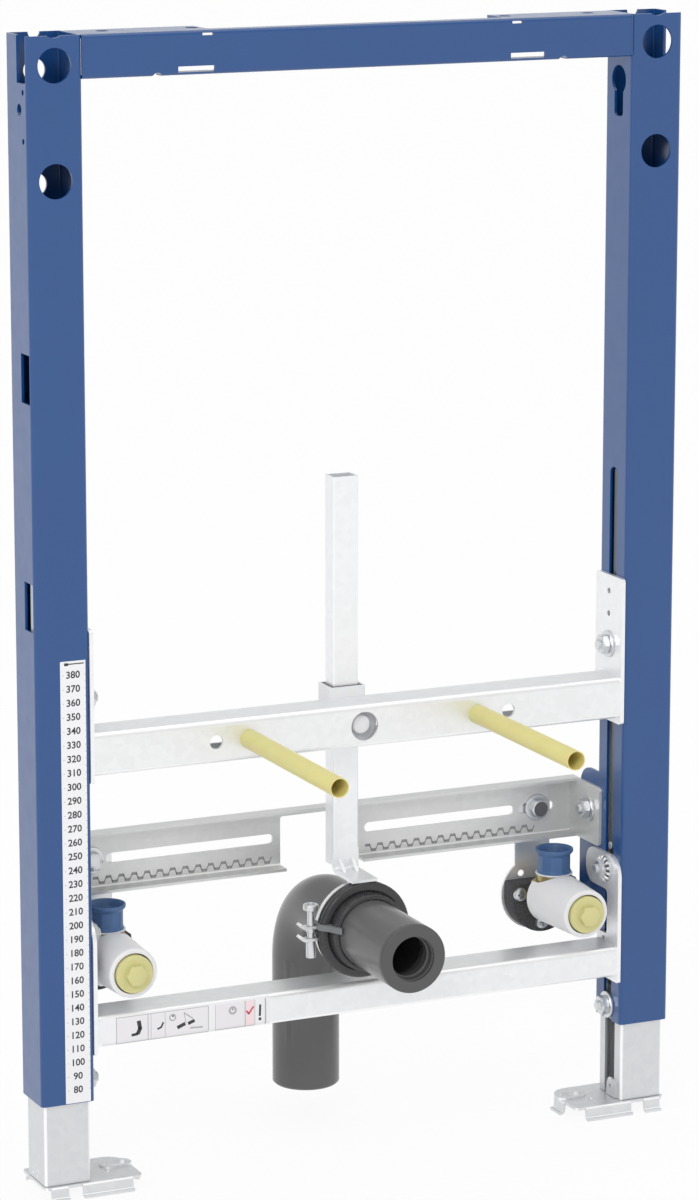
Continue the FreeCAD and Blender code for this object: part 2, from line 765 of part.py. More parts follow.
def make_rear_crossbar():
    """Folded rail behind the pipe: slotted web, two flanges, ends folded forward to the lugs."""
    half = rear_wall / 2
    front = rear_y - rear_flange
    path = [(front, rear_z0 + half), (rear_y - half, rear_z0 + half),
            (rear_y - half, rear_z1 - half), (front, rear_z1 - half)]
    end = inner_x - rear_wall
    rail = sheet(path, rear_wall, rear_bend, "x", -end, end)
    tabs = []
    for side in (-1, 1):
        tab = prism([(tab_y0, rear_z0, tab_round), (rear_y, rear_z0, rear_bend + rear_wall),
                     (rear_y, rear_z1, rear_bend + rear_wall), (tab_y0, rear_z1, tab_round)],
                    "x", side * end, side * inner_x)
        tab = tab.cut(rod(bolt_hole_r, (side * (end - 5), rear_bolt_y, rear_bolt_z),
                          (side * (inner_x + 5), rear_bolt_y, rear_bolt_z)))
        tabs.append(tab)
    rail = fuse(rail, *tabs)
    bridge_z = rear_z1 - bridge_h
    tools = [prism([(-recess_half, rear_z0 - 1, 0), (recess_half, rear_z0 - 1, 0),
                    (recess_half, bridge_z, 2), (-recess_half, bridge_z, 2)],
                   "y", front - 1, rear_y + 1)]
    for side, hand in ((-1, "left"), (1, "right")):
        web_start, web_end = (inner_x - inward for inward in rear_slot_web_in[hand])
        for x0, x1 in ((rear_slot_start, web_start), (web_end, inner_x - rear_slot_end_in)):
            tools.append(obround("y", (side * (x0 + x1) / 2, rear_slot_z), x1 - x0, rear_slot_h,
                                 web_y - 1, rear_y + 1))
    return cut(rail, *tools)


def make_water_plate():
    """Hanging plate behind the rear rail that carries a water connection."""
    x, z = water_x, water_z - water_plate_drop
    left, right = x - water_plate_inward, x + water_plate_outward
    y0, y1 = rear_y, rear_y + water_plate_t
    tab = prism([(left, z, 0), (right, z, 0), (right, water_plate_top, 3),
                 (left, water_plate_top, 3)], "y", y0, y1)
    plate = fuse(rod(water_plate_r, (x, y0, z), (x, y1, z)), tab)
    spot = (x - plate_hole_inward, z + plate_hole_up)
    holes = [rod(bolt_hole_r, (x, y0 - 1, rear_slot_z), (x, y1 + 1, rear_slot_z)),
             rod(plate_hole_r, (spot[0], y0 - 1, spot[1]), (spot[0], y1 + 1, spot[1]))]
    return cut(plate, *holes)


def make_water_bolt():
    """Bolt that holds the plate in the rail's slot."""
    x, z = water_x, rear_slot_z
    washer = rod(washer_r, (x, web_y - washer_t, z), (x, web_y, z))
    head = hexagon(hex_af, "y", (x, z), web_y - washer_t - hex_t, web_y - washer_t)
    back = rear_y + water_plate_t
    shank = rod(bolt_r - slack, (x, web_y - washer_t, z), (x, back + square_nut_t, z))
    nut = hexagon(hex_af, "y", (x, z), back, back + hex_t)
    return fuse(shank, washer, head, nut)


def make_water_pad():
    """Sound-insulating pad between the plate and the elbow, flat on top."""
    x, z = water_x, water_z - water_plate_drop
    y0, y1 = rear_y - pad_thick, rear_y
    disc = rod(pad_r, (x, y0, z), (x, y1, z))
    flat = block((x - pad_r - 1, x + pad_r + 1), (y0 - 1, y1 + 1), (z + pad_top, z + pad_r + 1))
    return disc.cut(flat)


def make_water_elbow():
    """Brass wall elbow: screwed flange, body towards the front, socket upwards."""
    x, z = water_x, water_z
    back = rear_y - pad_thick
    flange = rod(elbow_flange_r, (x, back - elbow_flange_t, z), (x, back, z))
    low = block((x - 30, x + 30), (back - 20, back + 1), (z + pad_top - water_plate_drop, z + 40))
    flange = flange.cut(low)
    body = rod(elbow_r, (x, elbow_front, z), (x, back, z))
    ball = Part.makeSphere(elbow_ball_r, V(x, elbow_y, z))
    socket = rod(elbow_r, (x, elbow_y, z), (x, elbow_y, z + elbow_top))
    elbow = fuse(body, ball, socket, flange)
    bores = [rod(elbow_bore_r, (x, elbow_front - 1, z), (x, elbow_y, z)),
             rod(elbow_bore_r, (x, elbow_y, z), (x, elbow_y, z + elbow_top + 1))]
    screws = []
    for angle in (180, 270, 0):
        a = math.radians(angle)
        sx, sz = x + elbow_screw_ring * math.cos(a), z - water_plate_drop + elbow_screw_ring * math.sin(a)
        screws.append(rod(elbow_screw_r, (sx, back - elbow_flange_t, sz), (sx, back, sz)))
    return fuse(cut(elbow, *bores), *screws)


def make_water_cap():
    """Blue cap on the elbow's upper socket, with a flared rim."""
    x, y, z = water_x, elbow_y, water_z + elbow_top
    body = rod(cap_r, (x, y, z), (x, y, z + cap_h - cap_rim_h))
    rim = Part.makeCone(cap_r, cap_rim_r, cap_rim_h, V(x, y, z + cap_h - cap_rim_h), V(0, 0, 1))
    well = rod(cap_well_r, (x, y, z + cap_h - cap_well), (x, y, z + cap_h + 1))
    return fuse(body, rim).cut(well)


def make_water_shell():
    """White tapered cover over the elbow, notched for its socket and carried by an inner collar."""
    x, z = water_x, water_z
    length = shell_y1 - shell_y0
    along = V(0, 1, 0)
    shell = Part.makeCone(shell_r0, shell_r1, length, V(x, shell_y0, z), along)
    bore = Part.makeCone(shell_r0 - shell_wall, shell_r1 - shell_wall, length - shell_lip,
                         V(x, shell_y0 + shell_lip, z), along)
    mouth = rod(plug_mouth_r, (x, shell_y0 - 1, z), (x, shell_y0 + shell_lip + 1, z))
    notch = fuse(rod(cap_rim_r + 1, (x, elbow_y, z), (x, elbow_y, z + 40)),
                 block((x - cap_rim_r - 1, x + cap_rim_r + 1), (elbow_y, shell_y1 + 1), (z, z + 40)))
    shell = cut(shell, bore, mouth, notch)
    y0 = elbow_front + slack
    collar = rod(shell_r0 - shell_wall / 2, (x, y0, z), (x, y0 + shell_collar, z))
    return fuse(shell, collar.cut(rod(elbow_r + slack, (x, y0 - 1, z), (x, y0 + shell_collar + 1, z))))


def make_water_plug():
    """Pressure-test plug screwed into the elbow, with a six-sided boss."""
    x, z = water_x, water_z
    front = shell_y0 - plug_front
    disc = rod(plug_r, (x, front, z), (x, elbow_front, z))
    stem = rod(elbow_bore_r, (x, elbow_front, z), (x, elbow_front + 12, z))
    boss = hexagon(plug_boss_af, "y", (x, z), front - plug_boss, front)
    return fuse(disc, stem, boss)


def make_lower_crossbar():
    """Channel in front of the spigot, open to the rear."""
    z0, z1 = low_z0, low_z0 + low_h
    half = low_wall / 2
    back, front = front_y + low_depth, front_y + half
    path = [(back, z0 + half), (front, z0 + half), (front, z1 - half), (back, z1 - half)]
    return sheet(path, low_wall, low_bend, "x", -seat_x, seat_x)


def make_lower_bracket():
    """End bracket of the lower crossbar: base, front strip and a broad head that laps the lug."""
    y0 = front_y
    base_top = low_z0 + low_h + bracket_base_up
    strip = y0 + bracket_strip
    z0, z1 = low_bolt_z - bracket_head_down, low_bolt_z + bracket_head_up
    plate = prism([(y0, bracket_z0, 1), (y0 + bracket_base, bracket_z0, 1),
                   (y0 + bracket_base, base_top, 3), (strip, base_top, 3), (strip, z0, 4),
                   (bracket_head_back, z0, 12), (bracket_head_back, z1, 12), (y0, z1, 15)],
                  "x", seat_x, inner_x)
    pip_z = base_top - bracket_pip_down
    return cut(plate, rod(bolt_hole_r, (seat_x - 1, 0, low_bolt_z), (inner_x + 1, 0, low_bolt_z)),
               rod(bracket_pip_r, (seat_x - 1, bracket_pip_y, pip_z), (inner_x + 1, bracket_pip_y, pip_z)))


def make_rear_bolt():
    """Bolt through the rail's folded end and the post's lug."""
    bearing = inner_x + post_wall
    nut = hexagon(hex_af, "x", (rear_bolt_y, rear_bolt_z), bearing, bearing + hex_t)
    return bolt(rear_bolt_y, rear_bolt_z, inner_x - rear_wall, bearing, nut)


def post_bolt(z):
    """Bolt of an end plate, its square nut behind the post's slotted wall."""
    bearing = inner_x + post_wall
    return bolt(0, z, seat_x, bearing, slot_nut(0, z, bearing))


os.makedirs("parts", exist_ok=True)

save("left_post", mirrored(make_post(left_slot_w)))
save("right_post", make_post(right_slot_w))
save("top_rail", make_top_rail())
save_pair("leg", make_leg())
save_pair("foot_plate", make_foot())
save_pair("leg_bolt", make_leg_bolt())

save("upper_crossbar", make_upper_crossbar())
save_pair("upper_plate", make_upper_plate())
save("upper_bolts", both(post_bolt(upper_bolt_z)))
save_pair("fixing_rod", make_fixing_rod())
save_pair("rod_sleeve", make_rod_sleeve())

save("bar_guide", make_bar_guide())
save("waste_bar", make_waste_bar())
save("clamp_upper", make_clamp_upper())
save("clamp_lower", make_clamp_lower())
save("clamp_screws", make_clamp_screw())
save("clamp_rubber", make_clamp_rubber())
save("waste_bend", make_waste_bend())
save("inlet_seal", make_inlet_seal())

save("rear_crossbar", make_rear_crossbar())
save("rear_bolts", both(make_rear_bolt()))
save_pair("water_plate", make_water_plate())
save("water_bolts", both(make_water_bolt()))
save_pair("water_pad", make_water_pad())
save_pair("water_elbow", make_water_elbow())
save_pair("water_cap", make_water_cap())
save_pair("water_shell", make_water_shell())
save_pair("water_plug", make_water_plug())

save("lower_crossbar", make_lower_crossbar())
save_pair("lower_bracket", make_lower_bracket())
save("lower_bolts", both(post_bolt(low_bolt_z)))
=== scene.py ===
# %% [markdown]
# # A bidet frame in Blender
# The object is the steel frame that stands behind a dry wall and carries a wall-hung bidet. Its metal
# skeleton comes in as a fixed model in metres, so nothing has to be fitted: a new piece goes where the
# skeleton says. What is left is the surface of things: powder coat, zinc, moulded plastic,
# rubber, printed stickers, and the small round forms that coarse triangles can't show.

# %% Load the frame
import json
import math

import bmesh
import bpy
import numpy as np
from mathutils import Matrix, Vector


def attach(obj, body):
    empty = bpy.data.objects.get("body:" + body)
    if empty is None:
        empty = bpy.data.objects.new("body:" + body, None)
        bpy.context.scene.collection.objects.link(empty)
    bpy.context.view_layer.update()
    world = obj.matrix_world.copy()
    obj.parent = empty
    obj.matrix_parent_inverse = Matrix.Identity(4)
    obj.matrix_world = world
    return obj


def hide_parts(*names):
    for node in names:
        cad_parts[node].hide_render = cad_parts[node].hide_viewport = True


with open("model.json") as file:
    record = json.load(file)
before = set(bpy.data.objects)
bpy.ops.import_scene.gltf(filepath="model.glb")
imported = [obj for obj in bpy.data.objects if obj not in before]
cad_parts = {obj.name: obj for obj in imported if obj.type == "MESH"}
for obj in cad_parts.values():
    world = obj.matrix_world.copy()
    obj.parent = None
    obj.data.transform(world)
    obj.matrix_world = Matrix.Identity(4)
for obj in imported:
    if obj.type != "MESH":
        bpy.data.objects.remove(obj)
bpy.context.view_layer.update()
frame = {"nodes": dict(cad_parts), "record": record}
nodes = frame["nodes"]
MM = 0.001

# %% [markdown]
# The photograph was taken from the left and a little above, with a long lens. A camera fitted to the
# frame's corners gives the place and the lens below. The long side of the picture is the vertical one,
# so the sensor is fitted to it, and the framing is the same at any size of render.

# %% The camera
CAMERA_PLACE = (-1.2956, -2.8021, 1.0670)
LOOK_ALONG = (0.40964, 0.88813, -0.20837)
LENS_MM, SENSOR_MM = 132.55, 36.0
scene = bpy.context.scene


def placed(name, data, place=(0, 0, 0), look=None):
    """A new object in the scene, turned to look along a direction if one is given."""
    item = bpy.data.objects.new(name, data)
    item.location = place
    if look is not None:
        item.rotation_euler = Vector(look).to_track_quat("-Z", "Y").to_euler()
    scene.collection.objects.link(item)
    return item


camera_data = bpy.data.cameras.new("photo_lens")
camera_data.sensor_fit = "VERTICAL"
camera_data.sensor_height = SENSOR_MM
camera_data.lens = LENS_MM
scene.camera = placed("photo_view", camera_data, CAMERA_PLACE, LOOK_ALONG)
scene.view_settings.view_transform = "Standard"

# %% [markdown]
# ## Finishes
# Colours are written as the hex codes that a colour picker shows, which are meant for a screen. Blender
# mixes light in linear values, so one function turns the one into the other. A second adds a node with
# its settings and links, so that a finish reads as a list of what feeds what.

# %% Colours and nodes
def colour(code):
    """Linear red, green, blue and alpha of an sRGB hex code."""
    channels = np.array([int(code[i:i + 2], 16) for i in (1, 3, 5)]) / 255
    linear = np.where(channels <= 0.04045, channels / 12.92, ((channels + 0.055) / 1.055) ** 2.4)
    return (*[float(c) for c in linear], 1.0)


def add(tree, kind, inputs, **settings):
    """Adds a node and gives its outputs: an input takes a value, or another node's output as a link."""
    node = tree.nodes.new("ShaderNode" + kind)
    for name, choice in settings.items():
        setattr(node, name, choice)
    for name, value in inputs.items():
        if isinstance(value, bpy.types.NodeSocket):
            tree.links.new(value, node.inputs[name])
        else:
            node.inputs[name].default_value = value
    return node.outputs


def finish_of(name, base, **others):
    """A new material with one shader, and the object's own coordinates counted in millimetres."""
    material = bpy.data.materials.new(name)
    material.use_nodes = True
    tree = material.node_tree
    shader = tree.nodes["Principled BSDF"]
    shader.inputs["Base Color"].default_value = colour(base)
    for key, value in others.items():
        shader.inputs[key.replace("_", " ")].default_value = value
    place = add(tree, "TexCoord", {})["Object"]
    in_mm = add(tree, "Mapping", {"Scale": (1000, 1000, 1000), "Vector": place})["Vector"]
    return material, tree, shader, in_mm


# %% [markdown]
# Almost every surface is a little uneven in three ways: its colour drifts over some centimetres, its
# gloss over some millimetres, and its skin has a fine relief. The last function below puts all three on a
# finish. The size of a pattern is in millimetres, and the scale of its noise is one over that size.

# %% Uneven surfaces
def mixed(tree, share, first, second):
    """Colour from the first to the second, by a share from 0 to 1."""
    return add(tree, "Mix", {"Factor": share, "A": first, "B": second}, data_type="RGBA")["Result"]


def noise(tree, where, size, detail):
    """Soft random pattern between 0 and 1, in patches of a size."""
    return add(tree, "TexNoise", {"Scale": 1 / size, "Detail": detail, "Vector": where})["Fac"]


def ramp(tree, value, start, end, low=0.0, high=1.0):
    """A value's span from start to end, stretched to the span from low to high and held outside it."""
    spans = {"From Min": start, "From Max": end, "To Min": low, "To Max": high}
    return add(tree, "MapRange", {"Value": value, **spans})["Result"]


def combined(tree, operation, first, second):
    """One number out of two."""
    return add(tree, "Math", {0: first, 1: second}, operation=operation)[0]


def relief(tree, shader, height, depth):
    """Fine relief on the surface: a height between 0 and 1, times a depth in millimetres."""
    bump = add(tree, "Bump", {"Strength": 1.0, "Distance": depth * MM, "Height": height})
    tree.links.new(bump["Normal"], shader.inputs["Normal"])


def uneven(name, tones, sheen=None, grain=None, **others):
    """Finish with tones (pale, deep, size), a sheen (low, high, size) and a grain (size, detail, depth)."""
    material, tree, shader, where = finish_of(name, tones[0], **others)
    pale, deep, size = tones
    drift = mixed(tree, noise(tree, where, size, 3.0), colour(pale), colour(deep))
    tree.links.new(drift, shader.inputs["Base Color"])
    if sheen:
        low, high, size = sheen
        level = ramp(tree, noise(tree, where, size, 2.0), 0.3, 0.7, low, high)
        tree.links.new(level, shader.inputs["Roughness"])
    if grain:
        size, detail, depth = grain
        relief(tree, shader, noise(tree, where, size, detail), depth)
    return material


# %% [markdown]
# **Powder coat.** The posts and the top rail are mild steel with a baked polyester powder. The film
# flows before it sets, which leaves soft waves about 2 mm long, known as orange peel, under a satin gloss.
# Its colour is even. From the side it mirrors the pale room, so it looks more lavender there.

# %% Powder coat
powder = uneven("blue_polyester_powder", ("#0A4784", "#064380", 40.0), (0.30, 0.38, 12.0),
                (2.0, 1.0, 0.02), Coat_Weight=0.55, Coat_Roughness=0.2)

# %% [markdown]
# ** Galvanised sheet.** The legs, crossbars and plates are strip steel with a hot-dip zinc skin, which
# freezes in flat crystals, the spangle. It is hardly seen here, because the strip is rolled afterwards,
# and that leaves fine lines along it. On every fold the zinc's colour is painted paler, up to white, as a
# painted highlight.

# %% Galvanised sheet
def fold_share(tree):
    """Share of the painted fold highlight: 0 on flats, 1 on folds, as 1 less the largest part of the object's
    own normal, from 0.02 to 0.16.
    """
    normal = add(tree, "TexCoord", {})["Normal"]
    size = add(tree, "VectorMath", {0: normal}, operation="ABSOLUTE")[0]
    parts = add(tree, "SeparateXYZ", {0: size})
    largest = combined(tree, "MAXIMUM", combined(tree, "MAXIMUM", parts["X"], parts["Y"]), parts["Z"])
    return ramp(tree, largest, 0.98, 0.84)


def galvanised(name, base, deep, rolled=(1, 30, 30), metallic=0.62):
    """Skin-passed zinc: spangle cells 5 mm wide shift gloss and tone, rolling lines run along one axis, and a
    highlight is painted on folds.
    """
    material, tree, shader, where = finish_of(name, base, Metallic=metallic)
    cells = add(tree, "TexVoronoi", {"Scale": 1 / 5.0, "Vector": where})["Color"]
    tone = add(tree, "SeparateColor", {"Color": cells})
    spangle = mixed(tree, tone["Red"], colour(base), colour(deep))
    # Painted highlight: on folds the spangle colour is mixed towards white.
    tree.links.new(mixed(tree, fold_share(tree), spangle, (1, 1, 1, 1)), shader.inputs["Base Color"])
    tree.links.new(ramp(tree, tone["Green"], 0.0, 1.0, 0.34, 0.38), shader.inputs["Roughness"])
    stretched = add(tree, "Mapping", {"Scale": rolled, "Vector": where})["Vector"]
    relief(tree, shader, noise(tree, stretched, 12.0, 3.0), 0.006)
    return material


# %% [markdown]
# ** Bright zinc plate.** Bolts, nuts and rods are turned or cold-headed steel with a thin electroplated
# zinc, passivated clear. It is brighter and bluer than the sheet, and shows faint tool marks 0.8 mm
# apart. Where the plate is missing, dark phosphated steel shows. The same dark steel paints the shade
# between the ribs of the lower bolts' flanges.

# %% Bright zinc plate
bright_zinc = uneven("bright_zinc_plate", ("#DDDFE1", "#D6D8DB", 6.0), (0.27, 0.31, 3.0),
                     (0.8, 1.0, 0.0008), Metallic=0.85)
# The dark steel serves the bolt end on the rail and the painted shade between the flange ribs.
dark_steel_and_rib_shade = uneven("phosphated_steel_and_rib_shade", ("#7B7C7E", "#6F7072", 3.0), (0.38, 0.46, 2.0), Metallic=1.0)

# %% [markdown]
# **Moulded plastics.** Sleeves, plugs, caps, shells and the bend are injection moulded or extruded
# polyethylene and polypropylene. Such parts take the mould's fine spark-eroded texture, let a little
# light under their skin, and keep a waxy gloss.

# %% Moulded plastics
def moulded(name, pale, deep, roughness, grain=0.5, depth=0.012, glow=0.0, sway=0.05):
    """Thermoplastic: its roughness sways over 5 mm, and light enters it by 1 mm."""
    return uneven(name, (pale, deep, 18.0), (roughness - sway, roughness + sway, 5.0), (grain, 2.0, depth),
                  IOR=1.49, Subsurface_Weight=glow, Subsurface_Scale=1.0 * MM)


# %% [markdown]
# **Rubber, foam and brass.** The clamp is lined with moulded EPDM rubber, matt and nearly black. The pad
# behind each elbow is closed-cell foam that was cut, so its face shows the opened cells. The elbows are
# hot-pressed brass, left as it came from the press.

# %% Rubber, foam and brass
FOAM_CELL, FOAM_DEPTH = 1.2, 0.2
pad_foam, tree, shader, where = finish_of("closed_cell_foam", "#3C3C3D", Roughness=0.85)
cells = add(tree, "TexVoronoi", {"Scale": 1 / FOAM_CELL, "Vector": where})["Distance"]
# Painted shade: the opened cells' hollows, low in the relief, are also darker in colour.
tree.links.new(mixed(tree, cells, colour("#2E2E30"), colour("#565658")), shader.inputs["Base Color"])
relief(tree, shader, cells, FOAM_DEPTH)
brass = uneven("hot_pressed_brass", ("#C2B486", "#A39468", 9.0), (0.28, 0.46, 4.0), (0.6, 2.0, 0.02),
               Metallic=1.0)

# %% The finishes of this frame
UPRIGHT = (30, 30, 1)
sheet_zinc = galvanised("skin_passed_zinc_sheet", "#F0F1F2", "#EBECED")
rail_zinc = galvanised("skin_passed_zinc_rail", "#DBDCDB", "#D7D8D7", metallic=0.45)
upright_zinc = galvanised("skin_passed_zinc_upright", "#F4F5F7", "#F0F1F3", UPRIGHT)
foot_zinc = galvanised("skin_passed_zinc_foot", "#DFE0E2", "#D9DADC")
# Painted shade: the strips behind the slots get a much darker zinc, standing in for the shade inside the
# slot.
slot_zinc_painted_shade = galvanised("skin_passed_zinc_slot_shade", "#6B7177", "#686D73", UPRIGHT)
leg_zinc = galvanised("skin_passed_zinc_leg", "#D8D9DB", "#D3D4D7", UPRIGHT)
band_zinc = galvanised("clamp_band_zinc", "#EFF0F0", "#EBECEC", (30, 1, 30))
sleeve_yellow = moulded("sleeve_polyethylene", "#E0D892", "#D8CF84", 0.42, glow=0.6)
plug_cream = moulded("plug_polypropylene", "#D4CF94", "#CCC68A", 0.42, glow=0.2)
pipe_grey = moulded("drain_pipe_polypropylene", "#5E5E5F", "#5A5A5B", 0.22, 1.2, 0.0015, sway=0.015)
seal_grey = moulded("socket_seal_rubber", "#525253", "#4E4E4F", 0.42, 0.6, 0.004, sway=0.03)
clamp_rubber = moulded("clamp_lining_rubber", "#3A3A3C", "#343436", 0.26, 0.6, 0.003, sway=0.03)
tongue_rubber = moulded("lining_tongue_rubber", "#7C7D7F", "#727375", 0.4, 0.6, 0.008)
shell_white = moulded("shell_polystyrene", "#E8E8EA", "#E2E2E5", 0.42, glow=0.1)
cap_blue = moulded("cap_polyethylene", "#4C6E9D", "#3D5F8C", 0.4, glow=0.1)

node_finish = {
    "blue_enamel": powder, "zinc_sheet": sheet_zinc, "zinc_bolts": bright_zinc, "clamp_band": band_zinc,
    "yellow_plastic": sleeve_yellow, "cream_plastic": plug_cream, "grey_pipe": pipe_grey,
    "black_rubber": clamp_rubber, "dark_foam": pad_foam, "white_plastic": shell_white,
    "blue_plastic": cap_blue, "brass": brass,
}
plainer = {"waste_bar": upright_zinc, "rear_crossbar": rail_zinc}
for side in ("left_", "right_"):
    plainer[side + "leg"] = leg_zinc
    plainer[side + "foot_plate"] = foot_zinc
    for plate in ("upper_plate", "lower_bracket", "water_plate"):
        plainer[side + plate] = upright_zinc
for part in frame["record"]["subparts"]:
    chosen = plainer.get(part["node"], node_finish[part["material_slot"]])
    for material_slot in nodes[part["node"]].material_slots:
        material_slot.material = chosen
print("finishes", len(bpy.data.materials))

# %% [markdown]
# ## Round pieces from grids
# Turned parts and bolts are worked out as grids of points: rows run along the piece, columns run round
# it, and one function joins the grid into faces. A hexagon is then only a radius that changes with the
# angle, a thread one that changes with angle and height together, and a chamfer a smaller of two radii.

# %% From a grid of points to a piece
def skin(points, ring_rows=False, ring_columns=False):
    """Quads between neighbours of a grid (rows, columns, 3); a ring joins its last line to its first."""
    rows, columns = points.shape[:2]
    row = np.arange(rows if ring_rows else rows - 1)[:, None]
    column = np.arange(columns if ring_columns else columns - 1)[None, :]
    next_row, next_column = (row + 1) % rows, (column + 1) % columns
    quads = np.stack([row * columns + column, next_row * columns + column,
                      next_row * columns + next_column, row * columns + next_column], axis=-1)
    return points.reshape(-1, 3), quads.reshape(-1, 4)


def mirrored(skins):
    """The same skins on the other side of the frame: x changes its sign."""
    return [(points * (-1, 1, 1), quads) for points, quads in skins]


def both(skins):
    """The skins and their mirror images."""
    return skins + mirrored(skins)


def mesh_of(name, points, faces, finish):
    """Mesh of points in metres, and of faces given by their points' numbers."""
    mesh = bpy.data.meshes.new(name)
    mesh.from_pydata(points, [], faces)
    mesh.materials.append(finish)
    return mesh


def piece(name, skins, finish, replaces=(), body="frame", sharp=34):
    """One object of closed skins in millimetres; edges past an angle stay sharp."""
    starts = np.cumsum([0] + [len(points) for points, _ in skins[:-1]])
    points = np.concatenate([points for points, _ in skins]) * MM
    quads = np.concatenate([faces + start for (_, faces), start in zip(skins, starts)])
    mesh = mesh_of(name, points, quads.tolist(), finish)
    work = bmesh.new()
    work.from_mesh(mesh)
    bmesh.ops.remove_doubles(work, verts=work.verts, dist=0.001 * MM)
    bmesh.ops.recalc_face_normals(work, faces=work.faces)
    work.to_mesh(mesh)
    work.free()
    mesh.shade_smooth()
    mesh.set_sharp_from_angle(angle=math.radians(sharp))
    item = placed(name, mesh)
    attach(item, body)
    if replaces:
        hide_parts(*replaces)


def pair(name, skins, finish, slot, node=None, rides="frame", sharp=34):
    """A piece on each side, with the side before its name, before the node it replaces and before its leg."""
    for side, arrange in (("left_", mirrored), ("right_", list)):
        body = side + rides if rides == "leg" else rides
        piece(side + name, arrange(skins), finish, [side + node] if node else (), body, sharp)


# %% Profiles, turning and sweeping
FORWARD, BACK, UP = (0, -1, 0), (0, 1, 0), (0, 0, 1)
INWARD, OUTWARD = (-1, 0, 0), (1, 0, 0)


def eased(corners, steps=5):
    """Rounds (u, v) or (u, v, size) corners by the curve (1-t)^2 A + 2t(1-t) B + t^2 C over each size."""
    t = np.linspace(0, 1, steps)[:, None]
    spots = [np.array(c[:2], float) for c in corners]
    lines = []
    for i, here in enumerate(spots):
        size = corners[i][2] if len(corners[i]) > 2 else 0
        if not size:
            lines.append(here[None, :])
            continue
        before, after = spots[i - 1] - here, spots[(i + 1) % len(spots)] - here
        a = here + before / np.linalg.norm(before) * size
        c = here + after / np.linalg.norm(after) * size
        lines.append((1 - t) ** 2 * a + 2 * t * (1 - t) * here + t ** 2 * c)
    return np.concatenate(lines)


def spun(radius, height, origin, along, ring=False):
    """Grid of origin + height * along + radius * (cos t * across + sin t * third), t round each row."""
    along = np.array(along, float)
    across = np.array((0.0, 0.0, 1.0)) if abs(along[2]) < 0.5 else np.array((1.0, 0.0, 0.0))
    third = np.cross(along, across)
    radius = np.atleast_2d(radius)
    angle = np.linspace(0, 2 * np.pi, radius.shape[1], endpoint=False)
    rim = np.cos(angle)[:, None] * across + np.sin(angle)[:, None] * third
    height = np.broadcast_to(np.asarray(height, float), radius.shape)
    points = np.array(origin, float) + height[..., None] * along + radius[..., None] * rim
    return skin(points, ring_rows=ring, ring_columns=True)


def turned(profile, origin, along, ring=False, around=64):
    """A profile of (radius, height) pairs turned round a line; ring closes it into a tube or washer."""
    profile = np.asarray(profile, float)
    radius = np.repeat(profile[:, :1], around, axis=1)
    return spun(radius, profile[:, 1:], origin, along, ring)


def capped(radius, height, origin, along):
    """Rows of radii at heights, turned round a line and closed by a middle point at both ends."""
    radius = np.concatenate([radius[:1] * 0, radius, radius[:1] * 0])
    height = np.concatenate([height[:1], height, height[-1:]])
    return spun(radius, height, origin, along)


def rod(radius, low, high, origin, along, around=40):
    """Plain rod between two heights."""
    return turned([(0, low), (radius, low), (radius, high), (0, high)], origin, along, around=around)


# %% [markdown]
# ## Fasteners
# Each crossbar is held by a hexagon bolt on either side, with a broad washer. A real head is chamfered:
# a cone cuts the six corners, which gives the bright circle on its face. The radius below is therefore the
# smaller of the hexagon's and the cone's. The thread is a saw-tooth that climbs by its pitch each turn.

# %% Heads, washers and threads
def hex_head(flats, low, high, origin, along, both_ends=False):
    """Hexagon with radius flats / 2 / cos(angle), its corners cut by a cone of 30 degrees."""
    off_side = np.radians((np.linspace(0, 360, 72, endpoint=False) + 30) % 60 - 30)
    side = flats / 2 / np.cos(off_side)
    depth = flats * 0.1
    foot = np.linspace(low, low + depth, 6) if both_ends else [low]
    height = np.concatenate([foot, np.linspace(high - depth, high, 6)])[:, None]
    from_end = np.minimum(high - height, height - low) if both_ends else high - height
    cone = flats / 2 * 0.95 + from_end * math.sqrt(3)
    return capped(np.minimum(side, cone), height, origin, along)


def washer(radius, bore, low, high, origin, along):
    """Flat ring with its outer corners eased by a quarter of its thickness."""
    ease = (high - low) / 4
    profile = eased([(bore, low), (radius, low, ease), (radius, high, ease), (bore, high)])
    return turned(profile, origin, along, ring=True)


def thread(radius, pitch, low, high, origin, along, around=36):
    """Threaded rod: a saw-tooth of height / pitch - angle, 0.61 pitches deep, faded out at both ends."""
    count = max(int((high - low) / pitch * 6), 8)
    height = np.linspace(low, high, count)[:, None]
    angle = np.linspace(0, 1, around, endpoint=False)[None, :]
    tooth = np.abs(2 * ((height / pitch - angle) % 1) - 1)
    fade = np.clip(np.minimum(height - low, high - height) / (pitch / 2), 0, 1)
    core = radius - 0.61 * pitch
    return capped(core + (radius - core) * tooth * fade, height, origin, along)


def drawn_up(outline, low, high):
    """Outline in x and y at two heights, closed by its middle."""
    middle = np.broadcast_to(outline.mean(axis=0), outline.shape)
    rows = [np.column_stack([spot, np.full(len(spot), h)])
            for spot, h in ((middle, low), (outline, low), (outline, high), (middle, high))]
    return skin(np.array(rows), ring_columns=True)


def slab(x, y, z, ease=0.4):
    """Box with eased upright edges; an ease of 0 leaves them sharp."""
    corners = [(x[0], y[0], ease), (x[1], y[0], ease), (x[1], y[1], ease), (x[0], y[1], ease)]
    return drawn_up(eased(corners, 3), *z)


# %% Bolts of the crossbars, the rear rail and the legs
M8_R, M8_PITCH, FLATS, WASHER_R, WASHER_BORE = 4.0, 1.25, 13.0, 10.0, 4.3
WASHER_TOP, HEAD_TOP, TIP_LOW, TIP_HIGH = 1.6, 7.1, 6.0, 9.6
PLATE_FACE, TAB_FACE, LEG_FACE, NUT_FACE = 207.0, 208.0, 210.0, 212.0
UPPER_Z, LOWER_Z, LEG_Z, REAR_Y, REAR_Z = 358.0, 187.0, 81.0, 30.0, 226.0
RAIL_WEB, RAIL_SLOT_Z = 60.0, 222.5


